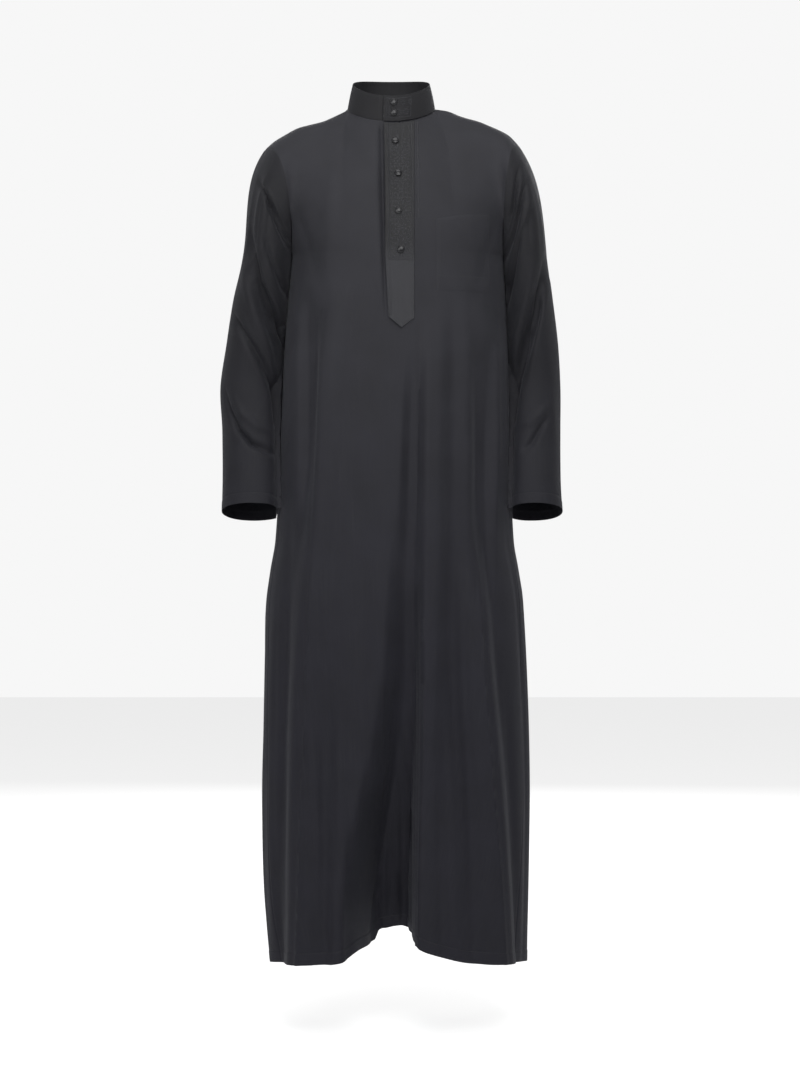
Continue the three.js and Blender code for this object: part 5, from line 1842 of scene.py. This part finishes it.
@dataclass
class Buttons:
    """Six small glossy buttons: a raised rim, a groove inside it and a low dome."""

    finishes: Finishes
    radius: float = 5.75
    height: float = 2.5
    lift: float = 0.3
    segments: int = 48
    profile: tuple[tuple[float, float], ...] = (
        (0.0, 0.0), (0.5, 0.0), (0.86, 0.02), (0.95, 0.12), (1.0, 0.34), (0.995, 0.56), (0.965, 0.76), (0.92, 0.88),
        (0.87, 0.91), (0.82, 0.88), (0.78, 0.8), (0.75, 0.74), (0.71, 0.76), (0.62, 0.83), (0.45, 0.92),
        (0.24, 0.98), (0.1, 0.998), (0.0, 1.0),
    )
    collar_places: tuple[tuple[float, float], ...] = ((2.5, 2.5), (2.5, -14.0))
    placket_places: tuple[tuple[float, float], ...] = ((5.6, -62.0), (9.9, -117.0), (11.0, -178.0), (14.0, -239.0))

    def button(self, number: int, skin: Sheet, x: float, z: float, front_only: bool) -> bpy.types.Object:
        """One button, its back against the skin where that shows at x and z from the front.

        Args:
            number: the button's number from the top.
            skin: what it is sewn on.
            x, z: its place as seen from the front.
            front_only: look for the place on the lapping end of the collar alone.

        Returns:
            The button.
        """
        miss = np.hypot(skin.points[..., 0] - x, skin.points[..., 2] - z)
        if front_only:
            miss[len(miss) // 2 + 1:] = np.inf
        i, j = np.unravel_index(np.argmin(miss), miss.shape)
        centre, normal = skin.points[i, j], skin.normals()[i, j]
        side = unit(np.cross(normal, [0.0, 0.0, 1.0]))
        up = np.cross(side, normal)
        turn = np.linspace(0, 2 * np.pi, self.segments, endpoint=False)[:, None, None]
        shape = np.array(self.profile)
        ring = (side * np.cos(turn) + up * np.sin(turn)) * (shape[:, :1] * self.radius)
        points = centre + ring + normal * (self.lift + shape[:, 1:] * self.height)
        build = Build.shell(Sheet(points, closed=True), 0.0)
        build.vertices = build.vertices[: points[..., 0].size]
        build.faces = [build.faces[0][: self.segments * (len(shape) - 1)]]
        made = build.object(f"button_{number}_resin", self.finishes.button, weld=True)
        placed(Slot.BUTTON, made, node=f"button_{number}")
        return made

    def build(self, collar: Sheet, placket: Sheet) -> list[bpy.types.Object]:
        """Builds all six."""
        high = [self.button(k + 1, collar, *place, True) for k, place in enumerate(self.collar_places)]
        low = [self.button(k + 3, placket, *place, False) for k, place in enumerate(self.placket_places)]
        return high + low


@dataclass
class Studio:
    """Pale floor, pale world, soft lights, and the camera at the photograph's angle."""

    floor_z: float = -1.4775
    floor_half: float = 9.0
    floor_glow: float = 0.68
    sky_light: float = 0.16
    sky_seen: float = 0.93
    aim: tuple[float, float, float] = (0.0, 0.0, -0.6)
    lights: tuple[tuple[str, tuple[float, float, float], float, float], ...] = (
        ("key", (0.28, -2.1, 0.75), 1.3, 19.5), ("fill", (-1.3, -3.0, 0.3), 1.6, 19),
        ("top", (0.0, -0.9, 2.4), 1.8, 26), ("back", (0.2, 3.4, 0.7), 2.2, 40),
        ("left side", (3.2, 1.5, 0.4), 1.6, 4.5), ("right side", (-3.2, 1.5, 0.4), 1.6, 3),
    )
    camera: tuple[float, float, float] = (0.013, -4.2, -0.705)
    lens: float = 85.56
    sensor: float = 36.0

    def light(self, name: str, place: tuple[float, float, float], size: float, power: float) -> None:
        """Square area light that faces the middle of the robe."""
        data = bpy.data.lights.new(name, "AREA")
        data.size, data.energy = size, power
        made = bpy.data.objects.new(name, data)
        made.location = place
        made.visible_camera = False
        target = np.array(self.aim) - np.array(place)
        flat = math.hypot(target[0], target[1])
        made.rotation_euler = (math.atan2(flat, -target[2]), 0, math.atan2(-target[0], target[1]))
        bpy.context.scene.collection.objects.link(made)

    def floor(self) -> None:
        """Large pale floor with a faint grain."""
        h = self.floor_half
        mesh = bpy.data.meshes.new("floor")
        corners = [(-h, -h, self.floor_z), (h, -h, self.floor_z), (h, h, self.floor_z), (-h, h, self.floor_z)]
        mesh.from_pydata(corners, [], [(0, 1, 2, 3)])
        material, shader = blank_material("floor")
        place = shader.add("ShaderNodeTexCoord").outputs["Object"]
        grain = shader.add("ShaderNodeTexNoise", {"Vector": place, "Scale": 40.0})
        colour = shader.blend(grain.outputs[0], (0.90, 0.90, 0.90, 1), (0.94, 0.94, 0.94, 1))
        seen = shader.add("ShaderNodeLightPath").outputs["Is Camera Ray"]
        glow = shader.spread(seen, 0.0, 1.0, 0.0, self.floor_glow)
        shader.principled({
            "Base Color": colour, "Roughness": 0.9, "Specular IOR Level": 0.1,
            "Emission Color": (1, 1, 1, 1), "Emission Strength": glow,
        })
        mesh.materials.append(material)
        made = bpy.data.objects.new("floor", mesh)
        bpy.context.scene.collection.objects.link(made)

    def build(self) -> None:
        """Sets up floor, world, lights and camera."""
        self.floor()
        scene = bpy.context.scene
        world = bpy.data.worlds.new("studio")
        world.use_nodes = True
        world.node_tree.nodes.clear()
        shader = Shader(world.node_tree)
        seen = shader.add("ShaderNodeLightPath").outputs["Is Camera Ray"]
        strength = shader.spread(seen, 0.0, 1.0, self.sky_light, self.sky_seen)
        sky = shader.add("ShaderNodeBackground", {"Color": (1, 1, 1, 1), "Strength": strength})
        shader.add("ShaderNodeOutputWorld", {"Surface": sky.outputs[0]})
        scene.world = world
        scene.view_settings.view_transform = "Standard"
        for lamp in self.lights:
            self.light(*lamp)
        data = bpy.data.cameras.new("camera")
        data.lens, data.sensor_width, data.sensor_fit = self.lens, self.sensor, "AUTO"
        made = bpy.data.objects.new("camera", data)
        made.location, made.rotation_euler = self.camera, (math.pi / 2, 0, 0)
        scene.collection.objects.link(made)
        scene.camera = made


def report(pieces: Sequence[bpy.types.Object]) -> None:
    """Logs each piece with its number of faces."""
    for piece in pieces:
        LOG.info("%s: %d faces", piece.name, len(piece.data.polygons))


def main() -> None:
    """Builds the robe on its frame."""
    logging.basicConfig(level=logging.INFO, format="%(name)s: %(message)s")
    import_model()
    form = RobeForm()
    finishes = Finishes.make()
    Studio().build()
    panels = Panels(form, finishes)
    report(panels.build())
    report(Sleeves(form, finishes).build())
    collar, collar_skin = Collar(form, finishes).build()
    placket, placket_skin = Placket(form, finishes, panels).build()
    pocket = Pocket(form, finishes, panels).build()
    report([collar, placket, pocket])
    report(Buttons(finishes).build(collar_skin, placket_skin))


if __name__ == "__main__":
    main()
